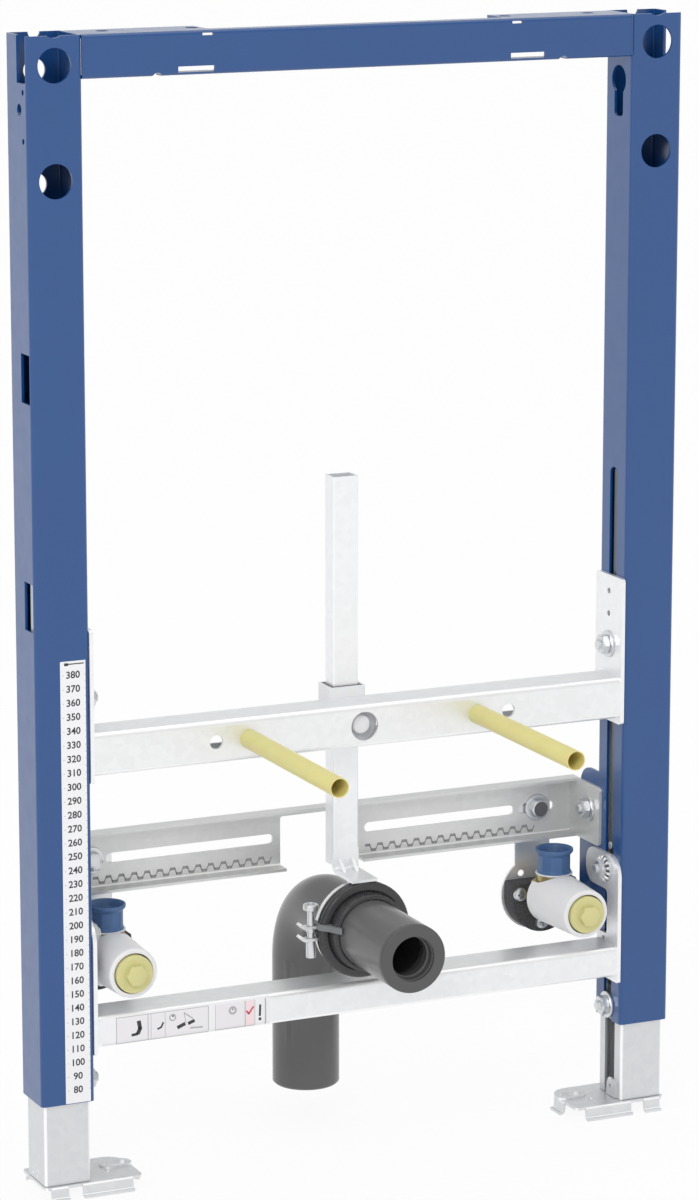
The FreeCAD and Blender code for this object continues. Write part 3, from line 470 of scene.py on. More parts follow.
def side_bolt(y, z, seat, inside, nut, ring=None):
    """Bolt along x on the right: a ring, which is a washer if none is given, hexagon, tip, shank and nut."""
    origin = (seat, y, z)
    return [ring or washer(WASHER_R, WASHER_BORE, 0.0, WASHER_TOP, origin, INWARD),
            hex_head(FLATS, WASHER_TOP, HEAD_TOP, origin, INWARD, True),
            thread(M8_R, M8_PITCH, TIP_LOW, TIP_HIGH, origin, INWARD),
            rod(M8_R, -inside, 2, origin, INWARD, 32), nut]


def ribbed_flange(origin):
    """Flange of a locking bolt: its face rises by 1.1 mm times the cosine of 14 turns."""
    angle = np.linspace(0, 2 * np.pi, 160, endpoint=False)
    rows = np.array([(6.0, 0.0, 0), (10.0, 0.0, 0), (10.4, 0.6, 0), (10.4, 2.2, 0.3), (9.6, 2.9, 1),
                     (8.0, 3.6, 1), (6.6, 4.2, 0.6), (6.0, 4.4, 0)])
    height = rows[:, 1:2] + rows[:, 2:] * 1.1 * np.cos(14 * angle)
    return spun(rows[:, :1] + 0 * angle, height, origin, INWARD, ring=True)


def square_nut(z, half=7.0):
    """Square nut that slides in the slotted post."""
    return slab((NUT_FACE, NUT_FACE + 7.0), (-half, half), (z - half, z + half))


flange = ribbed_flange((PLATE_FACE, 0, LOWER_Z))
rear_nut = hex_head(FLATS, 0.0, 5.5, (NUT_FACE, REAR_Y, REAR_Z), OUTWARD, True)
origin = (180.0, RAIL_WEB, RAIL_SLOT_Z)
slot_bolt = [washer(WASHER_R, WASHER_BORE, 0.0, WASHER_TOP, origin, FORWARD),
             hex_head(FLATS, WASHER_TOP, HEAD_TOP, origin, FORWARD),
             rod(3.7, -11, 2, origin, FORWARD, 32), hex_head(FLATS, 4.0, 9.5, origin, BACK, True)]
for name, node, skins in (
        ("crossbar_bolts", "upper_bolts", side_bolt(0, UPPER_Z, PLATE_FACE, 12, square_nut(UPPER_Z))),
        ("lower_bar_bolts", "lower_bolts",
         side_bolt(0, LOWER_Z, PLATE_FACE, 12, square_nut(LOWER_Z), flange)),
        ("rear_rail_bolts", "rear_bolts", side_bolt(REAR_Y, REAR_Z, TAB_FACE, 11, rear_nut)),
        ("rail_slot_bolts", "water_bolts", slot_bolt)):
    piece(name, both(skins), bright_zinc, [node])
bolt_end = eased([(0, 6.9), (5.7, 6.9), (5.7, 7.35, 0.2), (4.6, 7.2, 0.3), (0, 7.2)])
piece("rail_bolt_end", [turned(bolt_end, origin, FORWARD, around=48)], dark_steel_and_rib_shade)

leg_bolt = side_bolt(0, LEG_Z, LEG_FACE, 11.8, slab((214.8, 218.8), (-12, 12), (68, 94), 1.0))
pair("leg_clamp_bolt", leg_bolt, bright_zinc, "zinc_bolts", "leg_bolt")

# Painted shade: the gaps between the flange's ribs are darkened by a plain cone of dark steel a little lower
rib_gap_shade_cone = turned([(6.2, 1.0), (10.1, 1.0), (10.1, 2.3), (8.0, 3.3), (6.4, 4.0), (6.2, 4.0)],
                  (PLATE_FACE, 0, LOWER_Z), INWARD, ring=True)
piece("flange_rib_gaps_painted_shade", both([rib_gap_shade_cone]), dark_steel_and_rib_shade)
print("bolts made")

# %% [markdown]
# Near the floor each leg has small things that a coarse model leaves out: a few pressed dots on its outer
# side, and on the slotted side an ear with a hole, cut free and left in the plane of the sheet.

# %% Dots and ears of the legs
LEG_OUT, LEG_IN = 247.5, 212.5
HOLE_Y, HOLE_Z, HOLE_R = -3.8, 18.2, 1.4

# The ear's outline in y and z is drawn towards its hole in rows, at two values of x, as one ring
outline = eased([(-12.0, 10.4), (2.0, 10.4, 0.6), (1.2, 20.5, 1.5), (-1.5, 24.6, 1.5), (-6.0, 25.0, 1.5),
                 (-12.0, 22.0)])
angle = np.arctan2(outline[:, 1] - HOLE_Z, outline[:, 0] - HOLE_Y)
rim = np.column_stack([HOLE_Y + HOLE_R * np.cos(angle), HOLE_Z + HOLE_R * np.sin(angle)])
ear = [np.column_stack([np.full(len(edge), x), edge])
       for edge, x in ((outline, LEG_IN), (outline, LEG_IN - 1.5), (rim, LEG_IN - 1.5), (rim, LEG_IN))]
dot = [(0.0, -0.6), (1.1, -0.6), (1.1, 0.1), (0.8, 0.5), (0.0, 0.6)]
dots = [turned(dot, (LEG_OUT, y, z), OUTWARD, around=20)
        for y, z in ((7.0, 14.0), (-3.7, 18.2), (0.0, 21.6), (-2.5, 13.8))]
pair("leg_dots", dots, leg_zinc, "zinc_sheet", rides="leg")
pair("leg_ear", [skin(np.array(ear), True, True)], leg_zinc, "zinc_sheet", rides="leg")

# %% [markdown]
# ## Fixing rods and their sleeves
# The bidet hangs on two M12 rods. Each is guarded by a plastic tube, cut from a length: its end is
# square with a slightly broken edge, and the rod's end is seen a little way inside it.

# %% Rods and sleeves
ROD_X, ROD_Z, ROD_R, FRONT = 90.0, 321.0, 6.0, -20.0
SLEEVE_LENGTH, SLEEVE_R, SLEEVE_BORE = 153.5, 7.0, 6.2

origin = (ROD_X, FRONT, ROD_Z)
rod_skins = [thread(ROD_R, 1.75, 100.0, 130.0, origin, FORWARD), rod(ROD_R, -14, 100.5, origin, FORWARD),
             hex_head(18.0, 2.0, 11.0, origin, BACK, True)]
sleeve = turned(eased([(SLEEVE_BORE, 0), (SLEEVE_R, 0, 0.2), (SLEEVE_R, SLEEVE_LENGTH, 0.3),
                       (SLEEVE_BORE, SLEEVE_LENGTH, 0.3)]), origin, FORWARD, ring=True)
pair("m12_rod", rod_skins, bright_zinc, "zinc_bolts", "fixing_rod")
pair("guard_sleeve", [sleeve], sleeve_yellow, "yellow_plastic", "rod_sleeve")

# %% [markdown]
# Through the lower window of the left post a strip of the leg's web shows: each leg runs on above its
# clamping plate as a narrow tongue. It rides with the leg and stays inside the post at full travel.

# %% Tongues of the legs
leg_tongue = slab((245.6, 247.4), (-16.0, -5.6), (328.0, 478.0), 0)
pair("leg_tongue", [leg_tongue], leg_zinc, "zinc_sheet", rides="leg")

# %% [markdown]
# Close behind each post's inner slot stands a zinc strip, its colour painted dark as the shade inside the
# slot. It leaves a dark gap at the slot's rear edge, is interrupted at the crossbar's bolt and ends in a
# small rivet above the lower bracket.

# %% Strips behind the slots
STRIP_X, STRIP_Y = (212.1, 212.4), (-5.7, 2.7)
strips = [slab(STRIP_X, STRIP_Y, z, 0) for z in ((203.5, 347.0), (369.0, 488.0))]
rivet = eased([(0, 0), (2.9, 0, 0.2), (2.9, 0.9, 0.5), (0, 1.1)])
rivet_skins = [turned(rivet, (STRIP_X[0], 1.6, 203.6), INWARD, around=24)]
piece("slot_strips", both(strips), slot_zinc_painted_shade)
piece("slot_strip_rivets", both(rivet_skins), bright_zinc)

# %% [markdown]
# The top rail is welded between the posts: a thin bead, under the same paint, closes the seam at each end.

# %% Weld beads
BEAD_R, BEAD_LOW, BEAD_LENGTH = 0.9, 791.0, 28.4
bead = eased([(0, 0), (BEAD_R, 0, 0.4), (BEAD_R, BEAD_LENGTH, 0.4), (0, BEAD_LENGTH)])
for side, x in (("left", -209.3), ("right", 209.4)):
    piece(side + "_rail_weld", [turned(bead, (x, -19.6, BEAD_LOW), UP, around=24)], powder)

# %% [markdown]
# The crossbar's middle hole isn't empty: a round boss of the white guide behind it reaches into it. The
# guide's top is open round the waste bar, and a thin dark sheet in that gap paints its shade.

# %% Boss of the bar guide and the painted shade in its gap
boss = eased([(0, -14.6), (6.4, -14.6, 0.8), (7.4, -13.0, 0.8), (7.4, -9.6, 0.6), (14.0, -9.6, 0.4),
              (14.0, -7.0, 0.4), (7.4, -7.0), (7.4, 9.0), (0, 9.0)])
piece("guide_boss", [turned(boss, (0, 0, ROD_Z), BACK)], shell_white)

BAR_HALF, BAR_NEAR, BAR_FAR, GUIDE_TOP = 10.0, 12.0, 27.0, 344.0
# Painted shade: a thin sheet of dark rubber colour lies in the gap round the waste bar.
gap_shade_rows = [[(side * (BAR_HALF + grow), BAR_FAR + grow if back else BAR_NEAR - grow, GUIDE_TOP + lift)
             for side, back in ((-1, 0), (1, 0), (1, 1), (-1, 1))]
            for grow, lift in ((2.1, -0.4), (2.1, 0.08), (0.25, 0.08), (0.25, -0.4))]
gap = skin(np.array(gap_shade_rows), ring_rows=True, ring_columns=True)
piece("guide_gap_painted_shade", [gap], clamp_rubber)

# %% [markdown]
# ## The waste bend
# A grey plastic pipe runs level from the front, turns down and ends in a spigot. It is one surface: a
# circle carried along a line that is straight, then a quarter circle, then straight. The inside is the
# same surface with a smaller radius, and both are joined into one closed skin. Two upright ribs on the
# spigot show the fitter which way the bend points.

# %% Waste bend
PIPE_Z, PIPE_R, PIPE_BORE = 170.0, 25.0, 22.0
PIPE_FRONT, TURN_Y, TURN_R, SPIGOT_END = -98.0, 36.0, 48.0, 25.0
LEVEL_END, TURN_END = 134.0, 209.4
PIPE_AROUND, RIB_ANGLES, RIB_HALF, RIB_TOP, RIB_LOW = 192, (211.5, 225.7), 1.1, 134.0, 56.0


def pipe_route(reach):
    """Centre and outward normal along the pipe: y grows, then the angle of the turn, then z falls."""
    level, arc, drop = TURN_Y - PIPE_FRONT, TURN_R * np.pi / 2, PIPE_Z - TURN_R - SPIGOT_END
    turn = np.clip((reach - level) / TURN_R, 0, np.pi / 2)
    down = np.clip(reach - level - arc, 0, drop)
    y = np.minimum(PIPE_FRONT + reach, TURN_Y) + TURN_R * np.sin(turn)
    z = PIPE_Z - TURN_R + TURN_R * np.cos(turn) - down
    centre, normal = (np.stack([y * 0, *pair], -1) for pair in ((y, z), (np.sin(turn), np.cos(turn))))
    return centre, normal, turn, level + arc + drop


def pipe_shell(reach, radius):
    """Grid of centre + radius * (cos t * sideways + sin t * normal); a rib is a bell curve of the angle."""
    angle = np.linspace(0, 2 * np.pi, PIPE_AROUND, endpoint=False)
    centre, normal, turn, _ = pipe_route(reach)
    radius = np.broadcast_to(radius, (len(reach), PIPE_AROUND)).copy()
    ribs = sum(np.exp(-((angle - math.radians(a)) * PIPE_R / RIB_HALF) ** 2) for a in RIB_ANGLES)
    height = centre[:, 2:]
    shown = np.clip((RIB_TOP - height) / 2, 0, 1) * np.clip((height - RIB_LOW) / 6, 0, 1)
    outer = radius > PIPE_BORE + 1
    radius += np.where(outer & (turn[:, None] > 1.5), 0.6 * ribs[None, :] * shown, 0)
    sideways, outward = np.cos(angle)[None, :, None], np.sin(angle)[None, :, None]
    rim = sideways * np.array((1.0, 0, 0)) + outward * normal[:, None, :]
    return centre[:, None, :] + radius[..., None] * rim


whole = pipe_route(np.zeros(1))[3]
reach = np.unique(np.concatenate([np.linspace(0, LEVEL_END, 12), np.linspace(LEVEL_END, TURN_END, 36),
                                  np.linspace(TURN_END, whole - 1.5, 50), [whole]]))
outside = np.where(reach > whole - 1, PIPE_R - 1.5, PIPE_R)[:, None]
both_walls = np.concatenate([pipe_shell(reach, outside), pipe_shell(reach[::-1], PIPE_BORE)])
piece("drain_bend", [skin(both_walls, True, True)], pipe_grey, ["waste_bend"], "waste", 50)

# %% Seal in the pipe's mouth
seal_profile = eased([
    (PIPE_R, 4.0), (PIPE_R, 0, 1.2), (16.3, 0, 0.4), (16.3, 1.0, 0.2), (17.4, 1.2, 0.2), (17.4, 2.6, 0.2),
    (15.6, 3.0, 0.4), (15.6, 8.0, 0.6), (14.2, 8.6, 0.4), (14.2, 11.0, 0.4), (16.2, 13.0, 0.8),
    (15.2, 17.0, 0.8), (16.4, 20.0, 0.8), (16.4, 24.0, 0.4), (21.8, 24.0), (21.8, 4.0)])
seal_skins = [turned(seal_profile, (0, -102.0, PIPE_Z), BACK, ring=True, around=96)]
piece("mouth_seal", seal_skins, seal_grey, ["inlet_seal"], "waste")

# %% [markdown]
# ## The pipe clamp
# Two halves of a zinc band hold the pipe in a rubber lining. One screw on the left pulls them together
# and a hook joins them on the right. The lining is a profile turned round the pipe: it has a broad lip in
# front of the band, a groove that catches the light, and a nose that lies along the pipe. Where the two
# halves meet on the left, the lining ends in a paler tongue, pressed flat between them.

# %% Clamp screw and lining
origin = (-38.8, -11.5, PIPE_Z)
screw_head = eased([(0, 20.4), (1.5, 20.4, 0.2), (1.7, 19.4, 0.2), (2.9, 19.4, 0.2), (3.1, 21.6, 0.3),
                    (5.6, 21.4, 0.8), (5.6, 17.4, 0.6), (0, 17.4)])
shank = [(0, -6.0), (2.6, -6.0), (2.6, 18.0), (0, 18.0)]
barrel = eased([(0, -18.4), (3.5, -18.4, 0.8), (3.5, -5.5, 0.3), (0, -5.5)])
collar = eased([(0, 1.0), (3.6, 1.0, 0.3), (3.6, 4.6, 0.6), (0, 4.6)])
screw_skins = [turned(profile, origin, UP, around=48) for profile in (screw_head, shank, barrel, collar)]
piece("clamp_screw", screw_skins, bright_zinc, ["clamp_screws"], "waste")

lining_profile = eased([
    (25.3, -32.0, 0.6), (28.2, -31.2, 1.0), (28.9, -24.0, 0.5), (28.9, -20.4, 0.2), (29.5, -20.4, 0.2),
    (29.7, -22.4, 0.5), (34.6, -21.8, 1.2), (35.8, -19.4, 0.6), (35.2, -17.6, 0.5), (34.7, -16.0, 0.4),
    (35.4, -14.0, 0.5), (34.9, -12.4, 0.4), (34.1, -12.4, 0.1), (34.1, -16.2, 0.1), (31.5, -16.2, 0.1),
    (31.5, -6.8, 0.1), (33.0, -6.8, 0.5), (32.6, -3.0, 0.8), (25.3, -3.0, 0.5)])
lining_skins = [turned(lining_profile, (0, 0, PIPE_Z), BACK, ring=True, around=96)]
piece("clamp_lining", lining_skins, clamp_rubber, ["clamp_rubber"], "waste")

lining_tongue = eased([(-36.2, -20.5, 0.6), (-31.4, -26.0, 1.5), (-28.9, -31.4, 1.2), (-25.7, -37.2, 0.4),
                       (-25.2, -36.4, 0.2), (-25.2, -8.0), (-35.4, -8.0, 0.5)])
piece("lining_tongue", [drawn_up(lining_tongue, 173.6, 178.0)], tongue_rubber, body="waste")

# %% [markdown]
# ## Water connections
# Each side has a brass elbow screwed to a foam pad. Its upper socket is closed by a blue cap and its
# front one by a plug with a six-sided boss, and a tapered white shell covers the body. The shell's rear
# edge is not square: it runs forward round the socket, so its length is a function of the angle.

# %% Caps and plugs
WATER_X, WATER_Z, ELBOW_Y = 180.0, 160.0, 31.0
SHELL_FRONT, SHELL_REAR, SHELL_R, SHELL_WALL = -21.0, 35.0, 18.0, 1.6
NOTCH_R, ELBOW_FRONT = 15.2, -14.0


def cap_skins(low=179.6, high=198.0):
    """Cap: a turned wall with ten shallow flats, each 0.35 mm deep where |cos 5t| peaks."""
    profile = eased([(0, low), (12.9, low, 0.3), (12.6, low + 1.5, 0.4), (12.2, low + 2.5, 0.5),
                     (12.2, high - 4.5, 1.2), (14.2, high - 2.2, 0.6), (14.2, high, 0.5), (12.9, high, 0.4),
                     (11.6, high - 2.0, 0.6), (10.6, high - 5.5, 0.6), (0, high - 6.0)])
    radius, height = profile[:, :1], profile[:, 1:]
    angle = np.linspace(0, 2 * np.pi, 120, endpoint=False)
    on_wall = (height > low + 2) & (height < high - 4.5) & (radius > 5)
    flats = 0.35 * np.abs(np.cos(5 * angle))
    return [spun(radius - np.where(on_wall, flats, 0), height, (WATER_X, ELBOW_Y, 0), UP)]


def plug_skins():
    """Plug: turned disc with an eased rim, then a hexagon boss, and the stem that screws into the elbow."""
    origin = (WATER_X, SHELL_FRONT, WATER_Z)
    disc = eased([(0, -7.0), (13.7, -7.0, 0.3), (13.9, 3.0, 1.2), (9.0, 3.2, 0.5), (0, 3.2)])
    return [turned(disc, origin, FORWARD, around=80), rod(7.9, -19.0, -7.0, origin, FORWARD),
            hex_head(14.0, 3.0, 8.0, origin, FORWARD)]


# %% Shells
def shell_skins():
    """Tapered cover: its radius grows from 18 to 20.6 mm, and its rear edge follows the socket's notch."""
    angle = np.linspace(0, 2 * np.pi, 128, endpoint=False)
    side, up = np.sin(angle) * 20.0, np.cos(angle)
    notch = ELBOW_Y - np.sqrt(np.clip(NOTCH_R ** 2 - side ** 2, 0, None))
    rear = np.where((up > 0) & (np.abs(side) < NOTCH_R), notch, SHELL_REAR)
    taper = lambda height: SHELL_R + (height - SHELL_FRONT) * 2.6 / (SHELL_REAR - SHELL_FRONT)
    edge = np.array([(0.0, 3.2), (0.0, 2.0), (0.0, 1.0), (0.35, 0.35), (1.0, 0.0), (2.2, 0.0)])
    lip = np.array([(3.5, 16.4), (3.5, 14.9), (0.4, 14.8)])
    front, inset, inside, lip_radius = (np.repeat(column[:, None], 128, axis=1)
                                        for column in (*edge.T, *lip.T))
    start = SHELL_FRONT + edge[-1, 0]
    body = start + (rear - start) * np.linspace(0.06, 1, 14)[:, None]
    height = np.concatenate([SHELL_FRONT + front, body, body[::-1], SHELL_FRONT + inside])
    radius = np.concatenate([taper(SHELL_FRONT + front) - inset, taper(body),
                             taper(body[::-1]) - SHELL_WALL, lip_radius])
    return [spun(radius, height, (WATER_X, 0, WATER_Z), BACK, ring=True)]


# %% Elbows, pads and their screws
def elbow_skins():
    """Brass elbow: body turned about y with its wall flange and ball, socket turned about z."""
    body = eased([(8.0, ELBOW_FRONT), (11.2, ELBOW_FRONT, 0.5), (12.0, ELBOW_FRONT + 1, 0.3),
                  (12.0, 18.0, 3.0), (13.4, 27.0, 4.0), (13.4, 36.0, 3.0), (12.0, 42.0, 1.5),
                  (12.6, 44.0, 0.8), (12.6, 50.0, 0.3), (8.0, 50.0)])
    socket = eased([(8.0, -2.0), (11.8, -2.0), (12.0, 9.0, 1.0), (13.2, 11.0, 0.5), (13.2, 18.8, 0.4),
                    (8.0, 18.8)])
    return [turned(body, (WATER_X, 0, WATER_Z), BACK, ring=True),
            turned(socket, (WATER_X, ELBOW_Y, WATER_Z), UP, ring=True)]


def flange_screw_skins():
    """Pan heads round the elbow, with a cross recess: its radius is 0.7 + 2.1 |cos 2t|^4 mm."""
    turn = np.linspace(0, 2 * np.pi, 64, endpoint=False)
    cross = 0.7 + 2.1 * np.cos(2 * turn) ** 4
    rows = [(0, 1.2), (cross * 0.8, 1.2), (cross, 3.2), (3.2, 3.3), (4.6, 2.7), (5.2, 1.6), (5.3, 0.0),
            (3.0, 0.0), (3.0, -5.0), (0, -5.0)]
    radius, height = np.array([r + 0 * turn for r, _ in rows]), np.array([[h] for _, h in rows])
    return [spun(radius, height, (WATER_X + dx, 47.2, WATER_Z + dz), FORWARD)
            for dx, dz in ((-20.4, 0.2), (-1.8, -23.0), (20.4, 0.2))]


def pad_skins():
    """Foam pad, D-shaped: below its centre an arc of radius 27, above it straight sides up to a flat top."""
    arc = np.linspace(0, np.pi, 60)
    bow = np.stack([-26.2 * np.cos(arc), -27 * np.sin(arc)], -1)
    top = [(26.8, 0.4), (27.6, 11.4), (27.0, 12.0), (-25.2, 12.0), (-25.9, 11.4), (-26.2, 0.4)]
    outline, centre, rows = np.concatenate([bow, top]), np.array((0.0, -5.0)), []
    for share, y in ((0.0, 47.0), (0.985, 47.0), (1.0, 47.6), (1.0, 61.4), (0.985, 62.0), (0.0, 62.0)):
        x, z = (centre + share * (outline - centre)).T
        rows.append(np.column_stack([WATER_X + x, np.full(len(x), y), WATER_Z - 4 + z]))
    return [skin(np.array(rows), ring_columns=True)]


gasket = eased([(8.2, 178.6), (13.9, 178.6, 0.3), (13.9, 179.7, 0.3), (8.2, 179.7)])
pair("supply_cap", cap_skins(), cap_blue, "blue_plastic", "water_cap")
pair("test_plug", plug_skins(), plug_cream, "cream_plastic", "water_plug")
pair("elbow_shell", shell_skins(), shell_white, "white_plastic", "water_shell", sharp=40)
pair("brass_elbow", elbow_skins(), brass, "brass", "water_elbow")
pair("flange_screws", flange_screw_skins(), bright_zinc, "zinc_bolts")
pair("foam_pad", pad_skins(), pad_foam, "dark_foam", "water_pad")
pair("cap_gasket", [turned(gasket, (WATER_X, ELBOW_Y, 0), UP, ring=True)], shell_white, "white_plastic")
print("water connections made")

# %% [markdown]
# ## Printed stickers
# The left post carries a paper scale in millimetres above the floor, and the lower crossbar a strip of
# fitting pictures. Both are thin white films with print. The print is made as flat shapes a hair above
# the paper: all ticks are one array of rectangles, and the numbers are Blender's own text turned to mesh.

# %% Paper and ink
FILM, FILM_GRAIN = 0.12, (0.3, 2.0, 0.003)
paper, panel, pink = (uneven("label_film" + name, (pale, deep, 25.0), grain=FILM_GRAIN, Roughness=0.38)
                      for name, pale, deep in (("", "#ECECEE", "#E8E8EA"), ("_panel", "#E6E4E7", "#E2E0E4"),
                                               ("_pink", "#F0DCE0", "#ECD5DA")))
ink, grey_ink, red_ink, jet_ink = (uneven(name, (pale, deep, 2.0)) for name, pale, deep in (
    ("label_ink", "#3A3B3E", "#2E2F33"), ("label_ink_grey", "#B0B1B3", "#A8A9AB"),
    ("label_ink_red", "#D4566C", "#C8465E"), ("ink_jet_grey", "#9C9C9D", "#8F8F90")))


def plates(corners, face, lift, thick=0.05, wrap=None):
    """Flat shapes with corners (n, 4, 2) in x and z, as thin closed plates off a plane y = face + wrap(z)."""
    corners = np.asarray(corners, float)
    points = np.empty((len(corners), 8, 3))
    for half, off in ((slice(0, 4), lift + thick), (slice(4, 8), lift)):
        points[:, half, 0], points[:, half, 2] = corners[..., 0], corners[..., 1]
        points[:, half, 1] = face - off + (wrap(corners[..., 1]) if wrap else 0)
    sides = np.array([(0, 1, 2, 3), (7, 6, 5, 4), (4, 5, 1, 0), (5, 6, 2, 1), (6, 7, 3, 2), (7, 4, 0, 3)])
    quads = (np.arange(len(corners))[:, None, None] * 8 + sides[None]).reshape(-1, 4)
    return points.reshape(-1, 3), quads


def boxes(spans):
    """Corners of upright rectangles given as x0, x1, z0, z1."""
    x0, x1, z0, z1 = np.asarray(spans, float).T
    return np.stack([np.stack(pair, -1) for pair in ((x0, z0), (x1, z0), (x1, z1), (x0, z1))], 1)


def strokes(lines):
    """Corners of strokes given as x0, z0, x1, z1, width: each end moved across the line by half the width."""
    lines = np.asarray(lines, float)
    start, end, width = lines[:, 0:2], lines[:, 2:4], lines[:, 4:5]
    along = (end - start) / np.linalg.norm(end - start, axis=1, keepdims=True)
    across = np.stack([-along[:, 1], along[:, 0]], 1) * width / 2
    return np.stack([start - across, end - across, end + across, start + across], 1)


# %% Height scale on the left post
NUMBER_X, NUMBER_SIZE = -222.6, 7.0
heights = np.arange(80, 381, 10)
ticks = [(x, x + 0.9, h - 0.25, h + 0.25) for x in (-230.4, -214.0) for h in heights]
ticks += [(-214.0, -213.1, h + 4.75, h + 5.25) for h in heights[:-1]]
head_bar = [(-229.0, -226.0, 386.8, 388.8), (-226.0, -214.4, 387.5, 388.3)]
piece("height_scale_film", [plates(boxes([(-232.0, -213.2, 70.5, 390.0)]), FRONT, 0.0, FILM)], paper)
piece("height_scale_ticks", [plates(boxes(ticks), FRONT, FILM)], grey_ink)
piece("height_scale_head", [plates(boxes(head_bar), FRONT, FILM)], ink)


def number_mesh(text, size):
    """Blender's own letters for a text, centred, as points and faces of a flat mesh."""
    curve = bpy.data.curves.new("number", "FONT")
    curve.body, curve.size = text, size
    curve.align_x, curve.align_y = "CENTER", "CENTER"
    curve.resolution_u = 3
    curve.offset = size * 0.022
    carrier = placed("number", curve)
    bpy.context.view_layer.update()
    flat = bpy.data.meshes.new_from_object(carrier)
    bpy.data.objects.remove(carrier)
    points = np.empty(len(flat.vertices) * 3)
    flat.vertices.foreach_get("co", points)
    return points.reshape(-1, 3), [tuple(face.vertices) for face in flat.polygons]


spots, faces, start = [], [], 0
for height in heights:
    points, polygons = number_mesh(str(height), NUMBER_SIZE * MM)
    x, z = points[:, 0] + NUMBER_X * MM, points[:, 1] + height * MM
    spots.append(np.column_stack([x, np.full(len(x), (FRONT - FILM - 0.04) * MM), z]))
    faces += [tuple(i + start for i in polygon) for polygon in polygons]
    start += len(points)
numbers = mesh_of("height_scale_numbers", np.concatenate(spots), faces, ink)
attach(placed("height_scale_numbers", numbers), "frame")
print("scale numbers", len(heights))

# %% [markdown]
# The rear rail has a comb-like scale, sprayed on by ink jet, that helps to set both water connections to
# the same distance from the middle. One period of 10 mm is a high dash, a slope, a low dash and a slope.

# %% Comb scale on the rear rail
COMB_HIGH, COMB_LOW = 208.8, 204.8


def comb(starts):
    """Strokes of one period from each start: high dash, slope down, low dash, slope up."""
    parts = ((-0.4, COMB_HIGH, 3.8, COMB_HIGH, 2.1), (3.4, COMB_HIGH, 4.8, COMB_LOW, 1.0),
             (4.4, COMB_LOW, 8.6, COMB_LOW, 2.1), (8.2, COMB_LOW, 10.0, COMB_HIGH, 0.8))
    return [(x + a, za, x + b, zb, w) for x in starts for a, za, b, zb, w in parts]


comb_lines = comb(np.arange(-178.0, -38.0, 10.0)) + comb(np.arange(38.0, 178.0, 10.0))
comb_lines += [(-46.0, 202.4, -33.0, 202.4, 0.8), (-46.6, 202.4, -43.6, 202.4, 1.6),
               (-36.0, 202.4, -33.4, 202.4, 1.4)]
piece("rail_comb_scale", [plates(strokes(comb_lines), RAIL_WEB, 0.02)], jet_ink)

# %% [markdown]
# The strip on the lower crossbar shows how the bend is fitted, in panels with thin grey borders. Its
# pictures here are plain marks of the same size and weight: a hook, two bars, a circle, a tick. The film
# laps the bar's rounded corners, so every point gets the depth of the corner's circle at its height.

# %% Fitting strip on the lower crossbar
BAR_LOW, BAR_HIGH, BAR_CORNER = 108.0, 131.0, 4.0
FILM_Z, FIELD_Z, BORDER_Z = (108.8, 130.0), (109.4, 128.4), (109.2, 128.6)
FIELD_LIFT, FIELD_THICK, PRINT_LIFT = 0.08, 0.03, 0.12


def round_the_corner(z):
    """Depth of the bar's skin behind its front: R - sqrt(R^2 - d^2), d past the flat's upper or lower end."""
    past = np.clip(np.maximum(BAR_LOW + BAR_CORNER - z, z - BAR_HIGH + BAR_CORNER), 0, BAR_CORNER)
    return BAR_CORNER - np.sqrt(BAR_CORNER ** 2 - past ** 2)


def on_bar(corners):
    """Printed plates that follow the lower crossbar's front."""
    return plates(corners, FRONT, PRINT_LIFT, wrap=round_the_corner)


def bent_strip(x, span, lift, thick=0.05):
    """A strip over a span of heights that follows the bar's corner, closed by a middle point at both ends."""
    z = np.linspace(*span, 20)
    front = FRONT + round_the_corner(z) - lift - thick
    edges = [np.stack(np.broadcast_arrays(side, y, z), -1)
             for side, y in ((x[0], front), (x[1], front), (x[1], front + thick), (x[0], front + thick))]
    rows = np.stack(edges, 1)
    first, last = (np.broadcast_to(rows[i].mean(axis=0), (1, 4, 3)) for i in (0, -1))
    return skin(np.concatenate([first, rows, last]), ring_columns=True)


def circle_strokes(x, z, radius, width, sides=12):
    """A circle as strokes between neighbours of a regular polygon."""
    turn = np.linspace(0, 2 * np.pi, sides + 1)
    px, pz = x + radius * np.cos(turn), z + radius * np.sin(turn)
    return [(*a, width) for a in zip(px[:-1], pz[:-1], px[1:], pz[1:])]


piece("fitting_strip_film", [bent_strip((-204.0, -75.0), FILM_Z, 0.0, FIELD_LIFT)], paper)
fields = [bent_strip(x, FIELD_Z, FIELD_LIFT, FIELD_THICK) for x in ((-193.4, -123.0), (-117.0, -94.5))]
piece("fitting_strip_fields", fields, panel)
piece("fitting_strip_pink", [bent_strip((-94.0, -87.4), FIELD_Z, FIELD_LIFT, FIELD_THICK)], pink)
borders = [bent_strip((x, x + width), BORDER_Z, PRINT_LIFT)
           for x, width in ((-193.5, 0.5), (-169.4, 0.5), (-167.0, 0.3), (-156.2, 0.3), (-123.0, 0.5),
                            (-117.5, 0.3), (-94.5, 0.6), (-86.9, 0.4), (-78.8, 0.9))]
edges = boxes([(-193.5, -123.0, 109.0, 109.5), (-193.5, -123.0, 128.3, 128.7), (-117.5, -86.9, 109.2, 109.7)])
piece("fitting_strip_borders", borders + [on_bar(edges)], grey_ink)
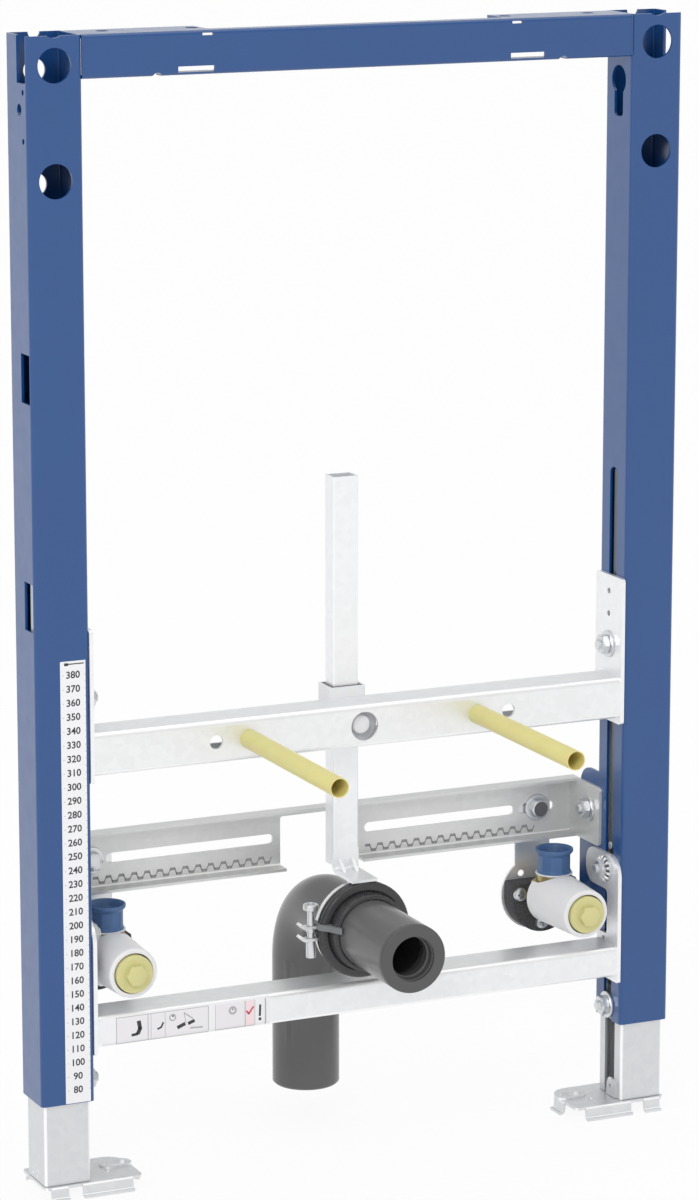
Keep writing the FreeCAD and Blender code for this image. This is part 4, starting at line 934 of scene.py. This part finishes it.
marks = [(-176.3, 124.6, -175.2, 118.4, 3.0), (-175.0, 119.4, -177.2, 114.8, 3.0),
         (-181.8, 114.6, -177.0, 115.0, 2.0), (-157.4, 121.0, -159.3, 117.3, 1.3),
         (-159.0, 117.6, -162.0, 116.5, 1.3), (-146.8, 115.5, -140.6, 117.9, 2.6),
         (-138.5, 117.5, -133.4, 119.3, 2.4), (-82.5, 124.4, -82.8, 115.9, 1.6),
         (-83.7, 113.7, -81.7, 113.7, 2.0), (-150.6, 124.6, -149.4, 124.6, 1.2),
         (-104.4, 123.6, -103.4, 123.6, 1.0)]
soft_marks = circle_strokes(-150.3, 123.6, 2.3, 0.9) + circle_strokes(-103.9, 122.8, 2.5, 1.4)
soft_marks += [(-141.6, 126.0, -134.6, 120.8, 0.9), (-136.9, 114.1, -127.1, 113.7, 1.2),
               (-141.6, 126.0, -140.0, 118.0, 0.5)]
check_mark = [(-93.3, 121.1, -91.3, 118.5, 1.3), (-91.6, 118.4, -87.6, 123.8, 1.3)]
for name, lines, finish in (("marks", marks, ink), ("soft_marks", soft_marks, grey_ink),
                            ("check", check_mark, red_ink)):
    piece("fitting_strip_" + name, [on_bar(strokes(lines))], finish)
print("strip marks", len(marks) + len(soft_marks) + len(check_mark))

# %% [markdown]
# ## Floor, backdrop and light
# The picture's ground is pure white. Through the Light Path node the world shows white to the camera,
# while the light that falls on the object stays at a plain level. The floor lets nine tenths of what the
# camera sees pass, because the pulled-out legs reach below it: the frame stays in its place and the feet
# go down. The last tenth is an ordinary white surface that keeps the soft shadow. To mirrors the floor
# glows white, and the world is white near the horizon, greyer above it and bright again overhead, as in a
# studio with one soft box on the ceiling: the upper faces of the zinc bars turn darker than the front
# ones, and every fold between the two gets a bright line, made brighter by the highlight painted on the
# zinc's folds.

# %% Floor
SEEN_THROUGH = 0.9
white, tree, shader, _ = finish_of("studio_white", "#F4F4F4", Roughness=0.9)
path = add(tree, "LightPath", {})
mirror_ray = combined(tree, "MAXIMUM", path["Is Glossy Ray"], path["Is Transmission Ray"])
glow = add(tree, "Emission", {"Color": (1, 1, 1, 1), "Strength": 1.0})["Emission"]
clear = add(tree, "BsdfTransparent", {})["BSDF"]
surface = shader.outputs["BSDF"]
for ray, other in ((mirror_ray, glow), (path["Is Camera Ray"], clear)):
    share = combined(tree, "MULTIPLY", ray, SEEN_THROUGH)
    surface = add(tree, "MixShader", {0: share, 1: surface, 2: other})["Shader"]
tree.links.new(surface, tree.nodes["Material Output"].inputs["Surface"])
corners = [(-20, -8, 0), (20, -8, 0), (20, 30, 0), (-20, 30, 0)]
placed("studio_floor", mesh_of("studio_floor", corners, [(0, 1, 2, 3)], white))

# %% World and lamp
PLAIN_LIGHT = 0.95
scene.world = bpy.data.worlds.new("studio")
scene.world.use_nodes = True
tree = scene.world.node_tree
background = tree.nodes["Background"].inputs
background["Color"].default_value = (1, 1, 1, 1)
upward = add(tree, "SeparateXYZ", {"Vector": add(tree, "TexCoord", {})["Generated"]})["Z"]
wall = ramp(tree, upward, 0.0, 0.5, 1.0, 0.6)
ceiling = ramp(tree, upward, 0.78, 0.94, 0.0, 1.3)
path = add(tree, "LightPath", {})
for_light = ramp(tree, path["Is Glossy Ray"], 0, 1, PLAIN_LIGHT, combined(tree, "ADD", wall, ceiling))
seen = combined(tree, "MAXIMUM", path["Is Camera Ray"], path["Is Transmission Ray"])
tree.links.new(ramp(tree, seen, 0, 1, for_light, 1.0), background["Strength"])

LAMP_PLACE, LAMP_TARGET = (-2.0, -2.5, 2.5), (0, 0, 0.4)
lamp_data = bpy.data.lights.new("key_light", "AREA")
lamp_data.size = 0.9
lamp_data.energy = 30
placed("key_light", lamp_data, LAMP_PLACE, Vector(LAMP_TARGET) - Vector(LAMP_PLACE))
